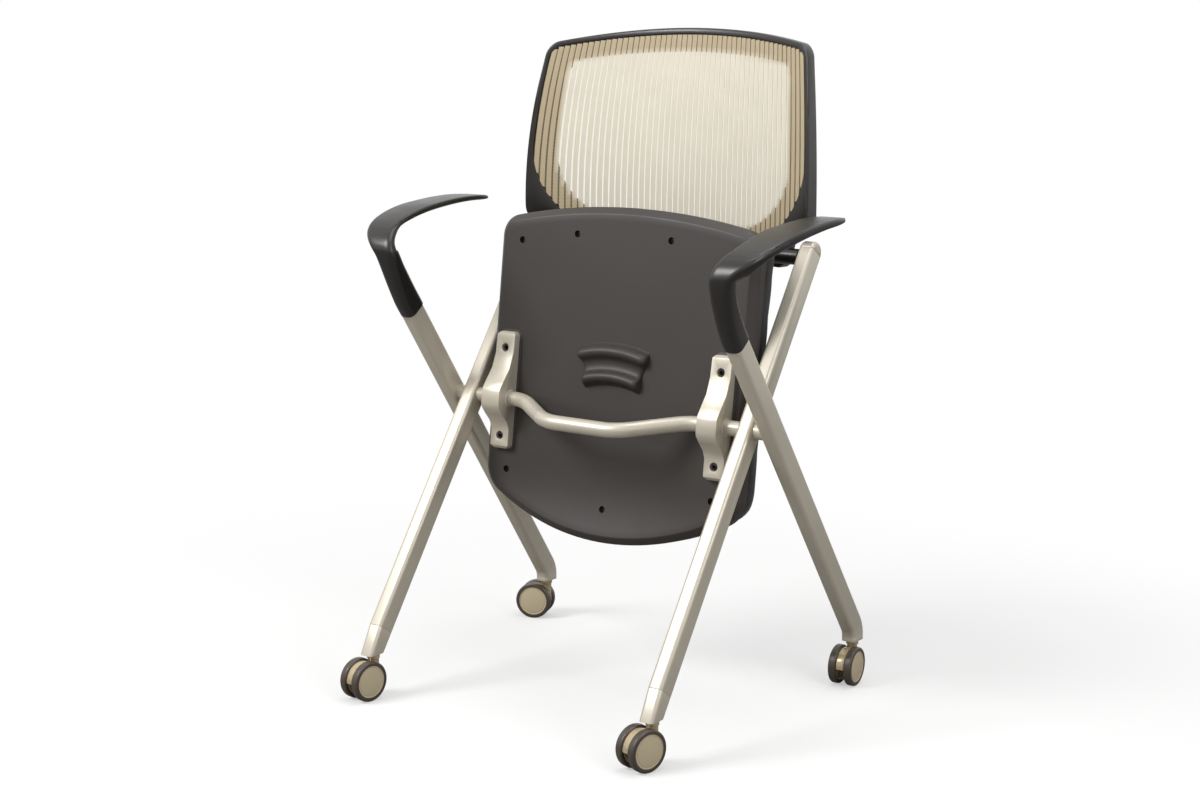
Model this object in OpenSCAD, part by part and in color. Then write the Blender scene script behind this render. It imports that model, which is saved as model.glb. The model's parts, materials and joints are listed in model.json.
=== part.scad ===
// Nesting chair with a flip-up seat, a tilting mesh backrest and four twin-wheel casters.
// Millimetres, +Z up, the front of the chair faces -Y. The seat is drawn flipped up.

/* [Legs] */
// Height of the axis where the tubes cross and the seat turns
cross_z = 361.5; // [341:0.5:381]
// Gap between the seat pan and a front leg
leg_gap = 4.3; // [4:0.1:9]
// Middle of a front leg to the middle of an arm tube, where they cross
arm_tube_out = 33.2; // [31:0.1:43]
// Lean of the front legs from upright, in degrees
leg_lean = 34.2; // [31:0.1:36]
// Lean of the arm tubes from upright, in degrees
arm_lean = 38; // [36:0.1:40]
// Lean of the arm tubes toward each other at the top, in degrees
arm_splay = 0.8; // [0:0.1:2]
// Radius of the bend that brings an arm tube's lower end upright
arm_bend_r = 32; // [28:1:50]
// Width of a tube across the chair
tube_w = 20; // [16:0.5:20]
// Depth of a tube, front to back
tube_d = 28; // [24:0.5:30]
// Corner radius of a tube
tube_r = 5; // [3:0.5:6]
// Wall of a tube
tube_wall = 2; // [1.2:0.1:2.5]
// Height of the tops of the front legs above that axis
leg_rise = 218.5; // [214.5:0.5:224.5]
// Height of the lower leg ends above the floor
leg_end_z = 56; // [54:0.5:62]
// Length of a cast front foot up to its seam
foot_l = 35; // [30:1:45]
// Turn of a foot's front face toward upright, in degrees
foot_turn = 8; // [4:0.5:10]
// Middle of a foot's lower end to its caster stem
foot_stem_back = 6; // [3:0.5:7]

/* [Crossbar] */
// Diameter of the crossbar
bar_d = 19; // [16:0.5:20]
// Radius of the crossbar's bends
bar_bend_r = 55; // [50:1:60]
// Turn of each bend, in degrees
bar_bend = 38; // [34:1:40]
// How far the middle of the crossbar stands in front of its ends
bar_forward = 57.6; // [50:0.5:60]
// How far the bow drops below level, in degrees
bar_drop = 11.5; // [5:0.5:15]
// Gap between a bracket and the crossbar's nearest bend
bar_bend_gap = 3; // [1:0.5:5]

/* [Seat] */
// Width of the seat pan
seat_w = 386; // [370:1:388]
// Seat axis to the front edge of the pan
seat_front = 256; // [240:1:262]
// Seat axis to the rear edge of the pan
seat_rear = 168; // [158:1:178]
// Radius of the front edge seen from below
seat_front_r = 830; // [700:10:1200]
// Radius of the rear edge seen from below
seat_rear_r = 356; // [320:2:500]
// Corner radius at the front
seat_front_corner_r = 28; // [24:1:40]
// Corner radius at the rear
seat_rear_corner_r = 40; // [34:1:60]
// Seat axis to the underside of the pan
pan_gap = 12.5; // [12:0.5:15]
// Height of the pan's rim
pan_h = 24; // [22:0.5:28]
// Bevel round the underside
pan_bevel = 9; // [6:0.5:10]
// Wall of the pan
pan_wall = 3; // [2.5:0.1:4]
// How far the rear edge curls away from the pan's plane
flare = 13; // [5:0.5:16]
// Seat axis to where the rear curl starts
flare_start = 92; // [85:1:100]
// Thickness of the board in the seat
board_t = 12; // [9:0.5:15]
// Height of the cushion above the pan's rim at its sides
cushion_h = 36; // [25:1:45]
// Crown of the cushion
cushion_crown = 7; // [3:0.5:12]
// How far the cushion stands out past the pan
cushion_over = 1.6; // [0.5:0.1:2]
// Lean of the flipped seat from upright, in degrees
seat_lean = 5.6; // [3:0.1:8]
// Travel of the seat from flipped up to level, in degrees
seat_travel = 93; // [85:1:96]

/* [Seat brackets] */
// Middle of a front leg to the middle of a bracket
bracket_in = 45.3; // [41:0.1:47.5]
// Width of a bracket
bracket_w = 28; // [24:0.5:30]
// Seat axis to the bracket's end nearest the seat's front
bracket_front = 86; // [80:1:95]
// Seat axis to the bracket's end nearest the seat's rear
bracket_rear = 67; // [62:1:75]
// Thickness of the bracket's ends
bracket_t = 10.5; // [9:0.5:13]
// Metal round the crossbar at the bracket's nose
bracket_nose = 15.5; // [12:0.5:18]
// Wall of a nylon bush
bush_t = 1.5; // [1:0.1:1.7]
// Running clearance round the crossbar, on the radius
run_fit = 0.05; // [0.02:0.01:0.1]

/* [Backrest] */
// Width of the backrest
back_w = 427; // [423:1:432]
// Height of the top of the backrest above the axis where the tubes cross
back_rise = 479; // [454.5:0.5:514.5]
// Depth of the backrest's rim at the top
rim_top = 19; // [15:0.5:22]
// Depth of the backrest's rim at the bottom
rim_bottom = 25; // [22:0.5:28]
// Width of the mesh border that lies on the frame
border_w = 29; // [20:0.5:34]
// Rim between the mesh and the outside of the frame
rim_w = 7; // [4:0.5:9]
// Radius of the hollow across the backrest
back_hollow_r = 450; // [430:5:520]
// Width of one band of the mesh with its gap
band_pitch = 8.4; // [8:0.1:11]
// Gap between two bands
band_gap = 1.8; // [1.2:0.1:3]
// Diameter of a backrest pin
back_pin_d = 10; // [8:0.5:11]
// Diameter of a backrest hub
hub_d = 20; // [18:0.5:23]

/* [Armrests] */
// Length of an armrest from its hook to its tip
arm_l = 241; // [226:1:251]
// Height of an armrest above the bottom of its sleeve
arm_h = 150; // [140:1:160]
// Length of the hook, from its front to the lower end of the sleeve's face
hook_l = 43; // [40:0.2:46]
// Height of the hook above the bottom of the sleeve
hook_h = 92; // [86:1:98]
// Middle of the arm tube to the outer edge of the armrest
arm_out = 55.5; // [53:0.5:60]
// Seat axis to the lower end of the sleeve, along the arm tube
sleeve_from = 144; // [135:1:155]
// How far the arm tube reaches into the sleeve
tube_in_sleeve = 22; // [20:1:25]
// Depth of the sleeve round the arm tube
sleeve_d = 31; // [31:0.5:36]
// Thickness of the top skin
arm_skin = 3; // [2:0.5:4]

/* [Casters] */
// Diameter of a caster wheel
wheel_d = 51; // [50:1:54]
// Swivel axis to wheel axle
trail = 16; // [14:0.5:18]
// Width across both wheels
caster_w = 32; // [30:0.5:36]
// Diameter of a caster stem
stem_d = 8; // [7:0.5:8]
// Diameter of a wheel axle
axle_d = 5; // [4:0.5:6]
// Tread thickness
tread_t = 5; // [3:0.5:6]

/* [Hidden] */
$fn = 48;

// Overrun of cuts and the small gap between parts that only rest on each other
over = 1;
seat_gap = 0.3;
still_fit = 0.2;

// Places across the chair: all of them follow the seat's width
leg_x = seat_w / 2 + leg_gap + tube_w / 2;
arm_tube_x = leg_x + arm_tube_out;
bracket_x = leg_x - bracket_in;
bar_straight_x = bracket_x - bracket_w / 2 - bar_bend_gap;

// Leg ends: flat at the bottom. The tops of the front legs are half-round caps.
cap_r = tube_d / 2;
leg_below = (cross_z - leg_end_z) / cos(leg_lean);
leg_above = (leg_rise - cap_r) / cos(leg_lean);
foot_seam = leg_below - foot_l;
// An arm tube's lower end: straight, then the bend, then an upright stub
arm_stub = 4;
arm_straight = (cross_z - leg_end_z - arm_stub - arm_bend_r * sin(arm_lean)) / cos(arm_lean);
arm_below = arm_straight + arm_bend_r * sin(arm_lean) + arm_stub * cos(arm_lean);
arm_above = sleeve_from + tube_in_sleeve;
front_stem_y = foot_stem_back - leg_below * sin(leg_lean);
rear_stem_y = arm_straight * sin(arm_lean) + arm_bend_r * (1 - cos(arm_lean));
rear_stem_x = arm_tube_x + arm_below * sin(arm_splay);

// Casters: side, front or rear, and the heading that the trail takes at rest, in degrees
wheel_r = wheel_d / 2;
casters = [[-1, -1, -9.5], [1, -1, -18], [-1, 1, -70], [1, 1, 3]];
function stem_x(c) = c[0] * (c[1] < 0 ? leg_x : rear_stem_x);
function stem_y(c) = c[1] < 0 ? front_stem_y : rear_stem_y;
function reach_front(c) = stem_y(c) - trail * cos(c[2]) - caster_half_y(c);
function reach_rear(c) = stem_y(c) - trail * cos(c[2]) + caster_half_y(c);
function caster_half_y(c) = wheel_r * abs(cos(c[2])) + caster_w / 2 * abs(sin(c[2]));
lowest_y = min([for (c = casters) reach_front(c)]);
highest_y = max([for (c = casters) reach_rear(c)]);
// The axis where the tubes cross lies here so that the origin is the middle of the chair on the floor
cross_y = -(lowest_y + highest_y) / 2;

module from_cross() {
    translate([0, cross_y, cross_z]) children();
}

// Along a front leg: up is up and to the rear. Along an arm tube: up is up and to the front.
module along_leg(side) {
    from_cross() translate([side * leg_x, 0, 0]) rotate([-leg_lean, 0, 0]) children();
}

module along_arm_tube(side) {
    from_cross() translate([side * arm_tube_x, 0, 0]) rotate([arm_lean, 0, 0])
        rotate([0, -side * arm_splay, 0]) children();
}

// Cuts the lower ends of the legs flat
module below_ends() {
    from_cross() translate([-cross_z, -cross_z, -cross_z]) cube([2 * cross_z, 2 * cross_z, leg_end_z]);
}

module rounded(w, d, r) {
    square([w - 2 * r, d], center = true);
    square([w, d - 2 * r], center = true);
    for (x = [-1, 1], y = [-1, 1]) translate([x * (w / 2 - r), y * (d / 2 - r)]) circle(r);
}

module tube(from, to, grow = 0) {
    translate([0, 0, from]) linear_extrude(to - from)
        rounded(tube_w + 2 * grow, tube_d + 2 * grow, tube_r + grow);
}

// A tube's section, moved in by less
module tube_section(less) {
    rounded(tube_w - 2 * less, tube_d - 2 * less, tube_r - less);
}

module tube_bore(from, to) {
    translate([0, 0, from]) linear_extrude(to - from) tube_section(tube_wall);
}

// Half-round tube end: the tube's own section turned about an axis across the chair
module half_end() {
    rotate([0, 90, 0]) rotate_extrude(angle = 180) intersection() {
        rotate(90) rounded(tube_w, tube_d, tube_r);
        translate([0, -tube_w]) square([tube_d, 2 * tube_w]);
    }
}

// Straight round bar along X between two places
module bar_x(from, to, d) {
    translate([from, 0, 0]) rotate([0, 90, 0]) cylinder(d = d, h = to - from);
}

// Front legs
module front_leg(side) {
    color("#cfc6b8") difference() {
        along_leg(side) tube(-foot_seam, leg_above);
        along_leg(side) tube_bore(-foot_seam - over, leg_above + over);
        from_cross() bar_x(side * leg_x - tube_w, side * leg_x + tube_w, bar_d);
        back_pin_place() bar_x(-leg_x, leg_x, back_pin_d);
    }
}

module tube_caps() {
    color("#cfc6b8") for (side = [-1, 1]) along_leg(side) translate([0, 0, leg_above]) {
        rotate([90, 0, 0]) half_end();
        linear_plug(-cap_plug_l, 0);
    }
}

cap_plug_l = tube_d / 4;

module linear_plug(from, to) {
    translate([0, 0, from]) linear_extrude(to - from) tube_section(tube_wall + still_fit);
}

stem_in = 18;
stem_down = 20;
plug_l = tube_d;

module stem_place(c) {
    from_cross() translate([stem_x(c), stem_y(c), -cross_z]) children();
}

module stem_cut(c) {
    stem_place(c) translate([0, 0, leg_end_z - over]) cylinder(d = stem_d, h = stem_in + over);
}

module front_feet() {
    color("#cfc6b8") for (c = casters) if (c[1] < 0) difference() {
        along_leg(c[0]) {
            foot();
            linear_plug(-foot_seam - over, -foot_seam + plug_l);
        }
        below_ends();
        stem_cut(c);
    }
}

// A foot: the tube's own section down from the seam, cut by a deeper one that turns about the seam's front edge
module foot() {
    intersection() {
        tube(-leg_below - tube_d, -foot_seam);
        translate([0, -tube_d / 2, -foot_seam]) rotate([foot_turn, 0, 0])
            translate([0, tube_d, -foot_l - 2 * tube_d]) linear_extrude(foot_l + 3 * tube_d)
                rounded(tube_w, 2 * tube_d, tube_r);
    }
}

module arm_tube(side) {
    color("#cfc6b8") difference() {
        along_arm_tube(side) {
            tube(-arm_straight, arm_above);
            arm_end(0, arm_lean + bend_over);
        }
        along_arm_tube(side) {
            tube_bore(-arm_straight, arm_above + over);
            arm_end(tube_wall, arm_lean + bend_over);
        }
        from_cross() mirror([side < 0 ? 1 : 0, 0, 0]) bar_x(arm_tube_x - tube_w, arm_tube_x, bar_d);
        arm_screw_hole(side);
        below_ends();
    }
}

// The bend is thinner by this all round, and runs on by this angle into the straight pieces
bar_step = 0.05;
bend_over = atan(over / arm_bend_r);
plug_turn_share = 0.8;

// The stub and the bend above it, as far as a turn, with the section moved in by less
module arm_end(less, turn) {
    translate([0, -arm_bend_r, -arm_straight]) {
        rotate([0, 90, 0]) rotate(90 - arm_lean - bend_over) rotate_extrude(angle = turn + bend_over)
            translate([arm_bend_r, 0]) rotate(90) tube_section(less + bar_step);
        rotate([-arm_lean, 0, 0]) translate([0, arm_bend_r, -arm_stub - over])
            linear_extrude(arm_stub + over) tube_section(less);
    }
}

module rear_sockets() {
    color("#cfc6b8") for (c = casters) if (c[1] > 0) difference() {
        along_arm_tube(c[0]) arm_end(tube_wall + still_fit, arm_lean * plug_turn_share);
        below_ends();
        stem_cut(c);
    }
}

module caster_stems() {
    color("silver") for (c = casters) stem_place(c)
        translate([0, 0, leg_end_z - stem_down]) cylinder(d = stem_d, h = stem_down + stem_in);
}

// Crossbar: two straight ends, and between them a bow of four bends. The sloping stretches are thinner, as
// the arm tubes' bends are, and run on into the bends.
bar_slope_l = (bar_forward - 2 * bar_bend_r * (1 - cos(bar_bend))) / sin(bar_bend);
bar_mid_x = bar_straight_x - 2 * bar_bend_r * sin(bar_bend) - bar_slope_l * cos(bar_bend);
bar_end_x = arm_tube_x - tube_w / 2 + tube_wall;
module bar_arc(turn) {
    rotate_extrude(angle = turn) translate([bar_bend_r, 0]) circle(d = bar_d);
}

module bar_half() {
    from_cross() rotate([bar_drop, 0, 0]) {
        bar_x(bar_straight_x, bar_end_x, bar_d);
        translate([bar_mid_x, -bar_forward + bar_bend_r, 0]) rotate(-90) bar_arc(bar_bend);
        translate([bar_straight_x, -bar_bend_r, 0]) rotate(90) bar_arc(bar_bend);
        translate([bar_straight_x - bar_bend_r * sin(bar_bend), -bar_bend_r * (1 - cos(bar_bend)), 0])
            rotate(bar_bend) bar_x(-bar_slope_l - over, over, bar_d - 2 * bar_step);
    }
}

module seat_crossbar() {
    color("#c9c2b4") difference() {
        union() {
            bar_half();
            from_cross() rotate([bar_drop, 0, 0]) translate([0, -bar_forward, 0])
                bar_x(-bar_mid_x, bar_mid_x, bar_d);
            mirror([1, 0, 0]) bar_half();
        }
        for (side = [-1, 1]) stop_pin(side);
    }
}

// Stop pins: they stand out of the crossbar inside the brackets
stop_pin_d = 5;
stop_pin_out = 5;
stop_slot_w = stop_pin_d + 2 * still_fit;

module stop_pin(side) {
    from_cross() translate([side * bracket_x, 0, 0]) rotate([90, 0, 0])
        translate([0, 0, -bar_d / 4]) cylinder(d = stop_pin_d, h = bar_d * 3 / 4 + stop_pin_out);
}

module seat_stop_pins() {
    color("silver") for (side = [-1, 1]) stop_pin(side);
}

// Seat: X across, Y from the seat axis to the front edge, Z away from the cushion
module in_seat() {
    from_cross() rotate([90 - seat_lean, 0, 0]) children();
}

front_angle = asin((seat_w / 2 - seat_front_corner_r) / (seat_front_r - seat_front_corner_r));
rear_angle = asin((seat_w / 2 - seat_rear_corner_r) / (seat_rear_r - seat_rear_corner_r));
front_mid = seat_front - seat_front_r;
rear_mid = -seat_rear + seat_rear_r;
outline_steps = 6;

// Right half of the pan's outline, moved in by i, from the front middle to the rear middle
function half_outline(i) = let (
    a = front_angle, b = rear_angle, rf = seat_front_corner_r, rr = seat_rear_corner_r,
    fx = seat_w / 2 - rf, fy = front_mid + (seat_front_r - rf) * cos(a),
    rx = seat_w / 2 - rr, ry = rear_mid - (seat_rear_r - rr) * cos(b))
    concat(
        [for (k = [0:outline_steps]) arc_point(0, front_mid, seat_front_r - i, a * k / (outline_steps + 1))],
        [for (k = [0:outline_steps]) arc_point(fx, fy, rf - i, a + (90 - a) * k / outline_steps)],
        [for (k = [1:outline_steps]) let (t = k / (outline_steps + 1)) [seat_w / 2 - i, fy * (1 - t) + ry * t]],
        [for (k = [0:outline_steps]) arc_point(rx, ry, rr - i, 90 + (90 - b) * k / outline_steps)],
        [for (k = [1:outline_steps + 1])
            arc_point(0, rear_mid, seat_rear_r - i, 180 - b * (1 - k / (outline_steps + 1)))]);

function arc_point(x, y, r, t) = [x + r * sin(t), y + r * cos(t)];

function whole(half) = concat(half, [for (k = [len(half) - 2:-1:1]) [-half[k][0], half[k][1]]]);
function seat_outline(i) = whole(half_outline(i));
function at_height(outline, z) = [for (p = outline) [p[0], p[1], z]];
seat_mid = (seat_front - seat_rear) / 2;
function toward_middle(outline, share) =
    [for (p = outline) [p[0] * share, seat_mid + (p[1] - seat_mid) * share]];

// A closed skin over rings of points, with a fan at each end
module loft(rings, first, last) {
    m = len(rings[0]);
    n = len(rings);
    points = concat([for (ring = rings) each ring], [first, last]);
    sides = [for (i = [0:n - 2], j = [0:m - 1]) let (a = i * m + j, b = i * m + (j + 1) % m)
        each [[a, b, b + m], [a, b + m, a + m]]];
    caps = [for (j = [0:m - 1]) each [[n * m, (j + 1) % m, j],
        [n * m + 1, (n - 1) * m + j, (n - 1) * m + (j + 1) % m]]];
    polyhedron(points, concat(sides, caps));
}

// A closed skin over sections that go round and meet themselves
module ring_loft(sections) {
    m = len(sections[0]);
    n = len(sections);
    polyhedron([for (s = sections) each s], [for (i = [0:n - 1], j = [0:m - 1])
        let (a = i * m + j, b = i * m + (j + 1) % m, c = (i + 1) % n * m + j, d = (i + 1) % n * m + (j + 1) % m)
        each [[a, c, d], [a, d, b]]]);
}

pan_face = -pan_gap;
pan_back = pan_face - pan_h;
function curl(y) = flare * pow(max(0, -y - flare_start) / (seat_rear - flare_start), 2);
function pan_ring(outline, z, curls) = [for (p = outline) [p[0], p[1], z + curls * curl(p[1])]];
inner_in = 2 * pan_bevel;
inner_shares = [0.86, 0.72, 0.4];

module pan_skin() {
    loft(concat([pan_ring(seat_outline(0), pan_back, 0), pan_ring(seat_outline(0), pan_face - pan_bevel, 1),
        pan_ring(seat_outline(pan_bevel), pan_face, 1), pan_ring(seat_outline(inner_in), pan_face, 1)],
        [for (share = inner_shares) pan_ring(toward_middle(seat_outline(inner_in), share), pan_face, 1)]),
        [0, seat_mid, pan_back], [0, seat_mid, pan_face]);
}

// Screws through the pan: places as shares of the pan's half width and of its front and rear reach
pan_screw_shares = [[-0.806, 0.804], [0.806, 0.804], [-0.363, 0.854], [0.363, 0.854],
    [-0.806, -0.56], [0.806, -0.56], [0, -0.749]];
function pan_screw(s) = [s[0] * seat_w / 2, s[1] * (s[1] > 0 ? seat_front : seat_rear)];
pan_screws_at = [for (s = pan_screw_shares) pan_screw(s)];
bracket_screw_front = bracket_front - 21;
bracket_screw_rear = bracket_rear - 17;
bracket_screws_at = [for (side = [-1, 1], y = [bracket_screw_front, -bracket_screw_rear])
    [side * bracket_x, y]];
screw_d = 4;
screw_head_d = 7;
screw_head_t = 2.5;
pan_recess_d = 9;
bracket_recess_d = 11;
board_top = pan_back + board_t;
boss_d = 16;
pad_t = 1;
pad_over = 3;

module drill(places, d, from, to) {
    for (p = places) translate([p[0], p[1], from]) cylinder(d = d, h = to - from);
}

// Finger grip: two arched ridges with a channel between them, narrower in the middle
grip_r = 168;
grip_upper = 74;
grip_lower = 43;
grip_out = 13;
grip_half = 51.5;
grip_waist = 41.5;
grip_ridge_r = 7;
grip_channel_out = 4;
grip_sink = 2;
grip_foot_share = 1.9;
grip_root_share = 1.4;

module grip_profile() {
    foot = grip_lower - grip_foot_share * grip_ridge_r;
    top = grip_upper + grip_foot_share * grip_ridge_r;
    translate([grip_r + foot - grip_upper, pan_face - grip_sink])
        square([top - foot, grip_sink + grip_channel_out]);
    for (y = [grip_upper, grip_lower]) translate([grip_r + y - grip_upper, pan_face]) {
        translate([-grip_root_share * grip_ridge_r, 0])
            square([2 * grip_root_share * grip_ridge_r, (grip_out + grip_channel_out) / 2]);
        translate([-grip_ridge_r, 0]) square([2 * grip_ridge_r, grip_out - grip_ridge_r]);
        translate([0, grip_out - grip_ridge_r]) circle(grip_ridge_r);
    }
}

module grip() {
    intersection() {
        translate([0, grip_upper - grip_r, 0]) rotate(90 - grip_fan)
            rotate_extrude(angle = 2 * grip_fan) grip_profile();
        translate([0, 0, pan_face - 2 * grip_sink]) linear_extrude(2 * grip_sink + 2 * grip_out) difference() {
            translate([-grip_half, 0]) square([2 * grip_half, grip_upper + 3 * grip_ridge_r]);
            for (side = [-1, 1])
                translate([side * (grip_waist + grip_hollow_r), grip_middle]) circle(grip_hollow_r);
        }
    }
}

grip_fan = 30;
grip_middle = grip_lower - grip_ridge_r / 2;
grip_hollow_r = 60;

module seat_pan() {
    color("#4a4341") in_seat() {
        difference() {
            union() {
                pan_skin();
                grip();
                for (side = [-1, 1]) bracket_pad(side);
            }
            translate([0, 0, pan_back - over]) linear_extrude(pan_h - pan_wall + over)
                polygon(seat_outline(pan_bevel));
            drill(pan_screws_at, pan_recess_d, pan_face - pan_wall - over, pan_face + flare);
            drill(bracket_screws_at, screw_d + still_fit, board_top - over, pan_face + flare);
        }
        difference() {
            drill(concat(pan_screws_at, bracket_screws_at), boss_d, board_top, pan_face - pan_wall);
            drill(pan_screws_at, pan_recess_d, pan_screw_seat, pan_face);
            drill(concat(pan_screws_at, bracket_screws_at), screw_d + still_fit, board_top - over, pan_face);
        }
    }
}

pan_screw_seat = pan_face - pan_wall - screw_head_t;

module bracket_pad(side) {
    pad_w = bracket_w + 2 * pad_over;
    pad_l = bracket_front + bracket_rear + 2 * pad_over;
    translate([side * bracket_x, (bracket_front - bracket_rear) / 2, pan_face - pan_wall / 2])
        linear_extrude(pan_wall / 2 + pad_t) rounded(pad_w, pad_l, bracket_corner_r + pad_over);
}

bracket_corner_r = 6;

module seat_board() {
    color("burlywood") in_seat() difference() {
        translate([0, 0, pan_back]) linear_extrude(board_t) polygon(seat_outline(pan_bevel + still_fit));
        drill(concat(pan_screws_at, bracket_screws_at), screw_d, board_hole, board_top + over);
    }
}

board_hole = board_top - board_t * 3 / 4;

module pan_screws() {
    color("#333333") in_seat() {
        drill(pan_screws_at, screw_head_d, pan_screw_seat, pan_screw_seat + screw_head_t);
        drill(pan_screws_at, screw_d, board_hole, pan_screw_seat);
    }
}

module bracket_screws() {
    color("#333333") in_seat() {
        drill(bracket_screws_at, screw_head_d, bracket_screw_seat, bracket_screw_seat + 2 * screw_head_t);
        drill(bracket_screws_at, screw_d, board_hole, bracket_screw_seat);
    }
}

bracket_base = pan_face + pad_t;
bracket_screw_seat = bracket_base + bracket_t / 3;

// Cushion: each ring is a move in from the outline and a share of the side's height
cushion_shares = [[3, 0], [0.6, 0.12], [0, 0.35], [0.2, 0.62], [2, 0.84], [6, 0.96], [14, 1.02]];
cushion_top_shares = [0.86, 0.66, 0.44, 0.22];
cushion_edge = cushion_shares[len(cushion_shares) - 1];
cushion_back = pan_back - seat_gap;
side_draw_share = 0.006;

function drawn(p) = let (x = abs(p[0]) / (seat_w / 2), y = abs(p[1] - seat_mid) / (seat_front + seat_rear) * 2)
    [p[0] * (1 - side_draw_share * max(0, 1 - y * y)),
    seat_mid + (p[1] - seat_mid) * (1 - side_draw_share * max(0, 1 - x * x))];
function cushion_ring(i, share) = [for (p = seat_outline(i * cushion_over - cushion_over)) let (q = drawn(p))
    [q[0], q[1], cushion_back - share * cushion_h]];
cushion_top = cushion_back - cushion_h * cushion_edge[1];
function crown_ring(share) = [for (p = toward_middle(seat_outline(cushion_edge[0] * cushion_over), share))
    [p[0], p[1], cushion_top - cushion_crown * (1 - share * share)]];

module seat_cushion() {
    color("#3a3a3c") in_seat() loft(concat(
        [for (k = [len(cushion_top_shares) - 1:-1:0]) crown_ring(cushion_top_shares[k])],
        [for (k = [len(cushion_shares) - 1:-1:0]) cushion_ring(cushion_shares[k][0], cushion_shares[k][1])]),
        [0, seat_mid, cushion_top - cushion_crown], [0, seat_mid, cushion_back]);
}

// Seat brackets: the outline seen from the side, with the crossbar's axis at zero
nose_out = bar_d / 2 + bracket_nose;
nose_half = 13;
nose_flat_share = 0.6;
// Each slope's points: a share of the way from the nose to the end, and a share of the rise
front_slope_shares = [[0.62, 0.06], [0.34, 0.3], [0.13, 0.7], [0, 0.94]];
rear_slope_shares = [[0, 0.94], [0.16, 0.62], [0.34, 0.2], [0.52, 0]];

module bracket_side() {
    tip = bracket_base + bracket_t;
    rise = nose_out - tip;
    polygon(concat([[-bracket_rear, bracket_base], [bracket_front, bracket_base],
        [bracket_front, tip - bracket_t / 3], [bracket_front - bracket_t / 3, tip]],
        [for (s = front_slope_shares) [nose_half + (bracket_front - nose_half) * s[0], tip + rise * s[1]]],
        [[nose_half * nose_flat_share, nose_out], [-nose_half * nose_flat_share, nose_out]],
        [for (s = rear_slope_shares) [-nose_half - (bracket_rear - nose_half) * s[0], tip + rise * s[1]]],
        [[-bracket_rear + bracket_t / 3, tip], [-bracket_rear, tip - bracket_t / 3]]));
}

bush_d = bar_d + 2 * run_fit + 2 * bush_t;
bush_l = (bracket_w - stop_slot_w) / 2 - bush_t;
stop_slot_r = bar_d / 2 + stop_pin_out + still_fit;
// Angle that half the stop pin takes where the crossbar ends, with its clearance
pin_angle = asin((stop_pin_d / 2 + run_fit) / (bar_d / 2));

module bracket(side) {
    color("#cfc6b8") in_seat() translate([side * bracket_x, 0, 0]) difference() {
        intersection() {
            rotate([90, 0, 90]) translate([0, 0, -bracket_w / 2]) linear_extrude(bracket_w) bracket_side();
            translate([0, (bracket_front - bracket_rear) / 2, bracket_base]) linear_extrude(2 * nose_out)
                rounded(bracket_w, bracket_front + bracket_rear, bracket_corner_r);
        }
        bar_x(-bracket_w, bracket_w, bar_d + 2 * run_fit + 2 * still_fit);
        bar_x(-bracket_w, bush_l - bracket_w / 2, bush_d);
        bar_x(bracket_w / 2 - bush_l, bracket_w, bush_d);
        stop_slot();
        for (y = [bracket_screw_front, -bracket_screw_rear]) translate([0, y, 0]) {
            translate([0, 0, bracket_screw_seat]) cylinder(d = bracket_recess_d, h = nose_out);
            translate([0, 0, bracket_base - over]) cylinder(d = screw_d + still_fit, h = nose_out);
        }
    }
}

// The slot is drawn in the seat at rest, where the pin points straight to the front of the chair
module stop_slot() {
    start = -seat_travel - pin_angle;
    rotate([seat_lean, 0, 0]) rotate([0, 90, 0]) rotate([0, 0, 180 + start]) translate([0, 0, -stop_slot_w / 2])
        rotate_extrude(angle = seat_travel + 2 * pin_angle) square([stop_slot_r, stop_slot_w]);
}

module seat_bushes() {
    color("white") in_seat() for (side = [-1, 1], end = [-1, 1])
        translate([side * bracket_x + end * (bracket_w - bush_l) / 2, 0, 0]) difference() {
            bar_x(-bush_l / 2, bush_l / 2, bush_d);
            bar_x(-bush_l, bush_l, bar_d + 2 * run_fit);
        }
}

// Backrest: every outline is drawn flat, then its sides lean in, its top arches and it goes on the hollow
back_pivot_down = 7.4;
pivot_along = leg_above - back_pivot_down;
pivot_y = pivot_along * sin(leg_lean);
pivot_z = pivot_along * cos(leg_lean);
back_h = back_rise - pivot_z;
back_half = back_w / 2;
widest_share = 0.217;
wide_z = pivot_z + back_h * widest_share;
side_lean_share = 0.0585;
side_lean_h_share = 0.624;
side_lean_h = back_h * side_lean_h_share;
top_arch_r = 2 * back_w;
side_hollow_r = 3 * back_hollow_r;
deepest_share = 0.306;
deep_z = pivot_z + back_h * deepest_share;
back_behind = 32;
back_front_y = pivot_y + back_behind;

function lean_in(x, z) = x * (1 - side_lean_share * pow(max(0, z - wide_z) / side_lean_h, 2));
function arch(x, z) = z - x * x / (2 * top_arch_r) * min(1, max(0, (z - pivot_z) / back_h));
function hollow(x, z) = back_front_y + pow(z - deep_z, 2) / (2 * side_hollow_r) - x * x / (2 * back_hollow_r);
function on_back(p, depth) = let (x = lean_in(p[0], p[1]), z = arch(x, p[1])) [x, hollow(x, z) + depth, z];
function rim_depth(p) = rim_bottom + (rim_top - rim_bottom) * min(1, max(0, (p[1] - pivot_z) / back_h));

below_hub_share = 0.8;
back_bottom = pivot_z - hub_d * below_hub_share;
open_half = back_half - rim_w - border_w;
top_border = 30.5;
open_top = back_rise - top_border;
open_above_pin = 26;
open_bottom = pivot_z + open_above_pin;
mesh_half = back_half - rim_w;
top_rim = 8;
mesh_top = back_rise - top_rim;
low_border = 25;
mesh_bottom = open_bottom - low_border;
open_corner_r = 100;
mesh_corner_r = 135;
open_top_r = 18;
mesh_top_r = 14;
corner_steps = 8;
side_steps = 5;

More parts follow.
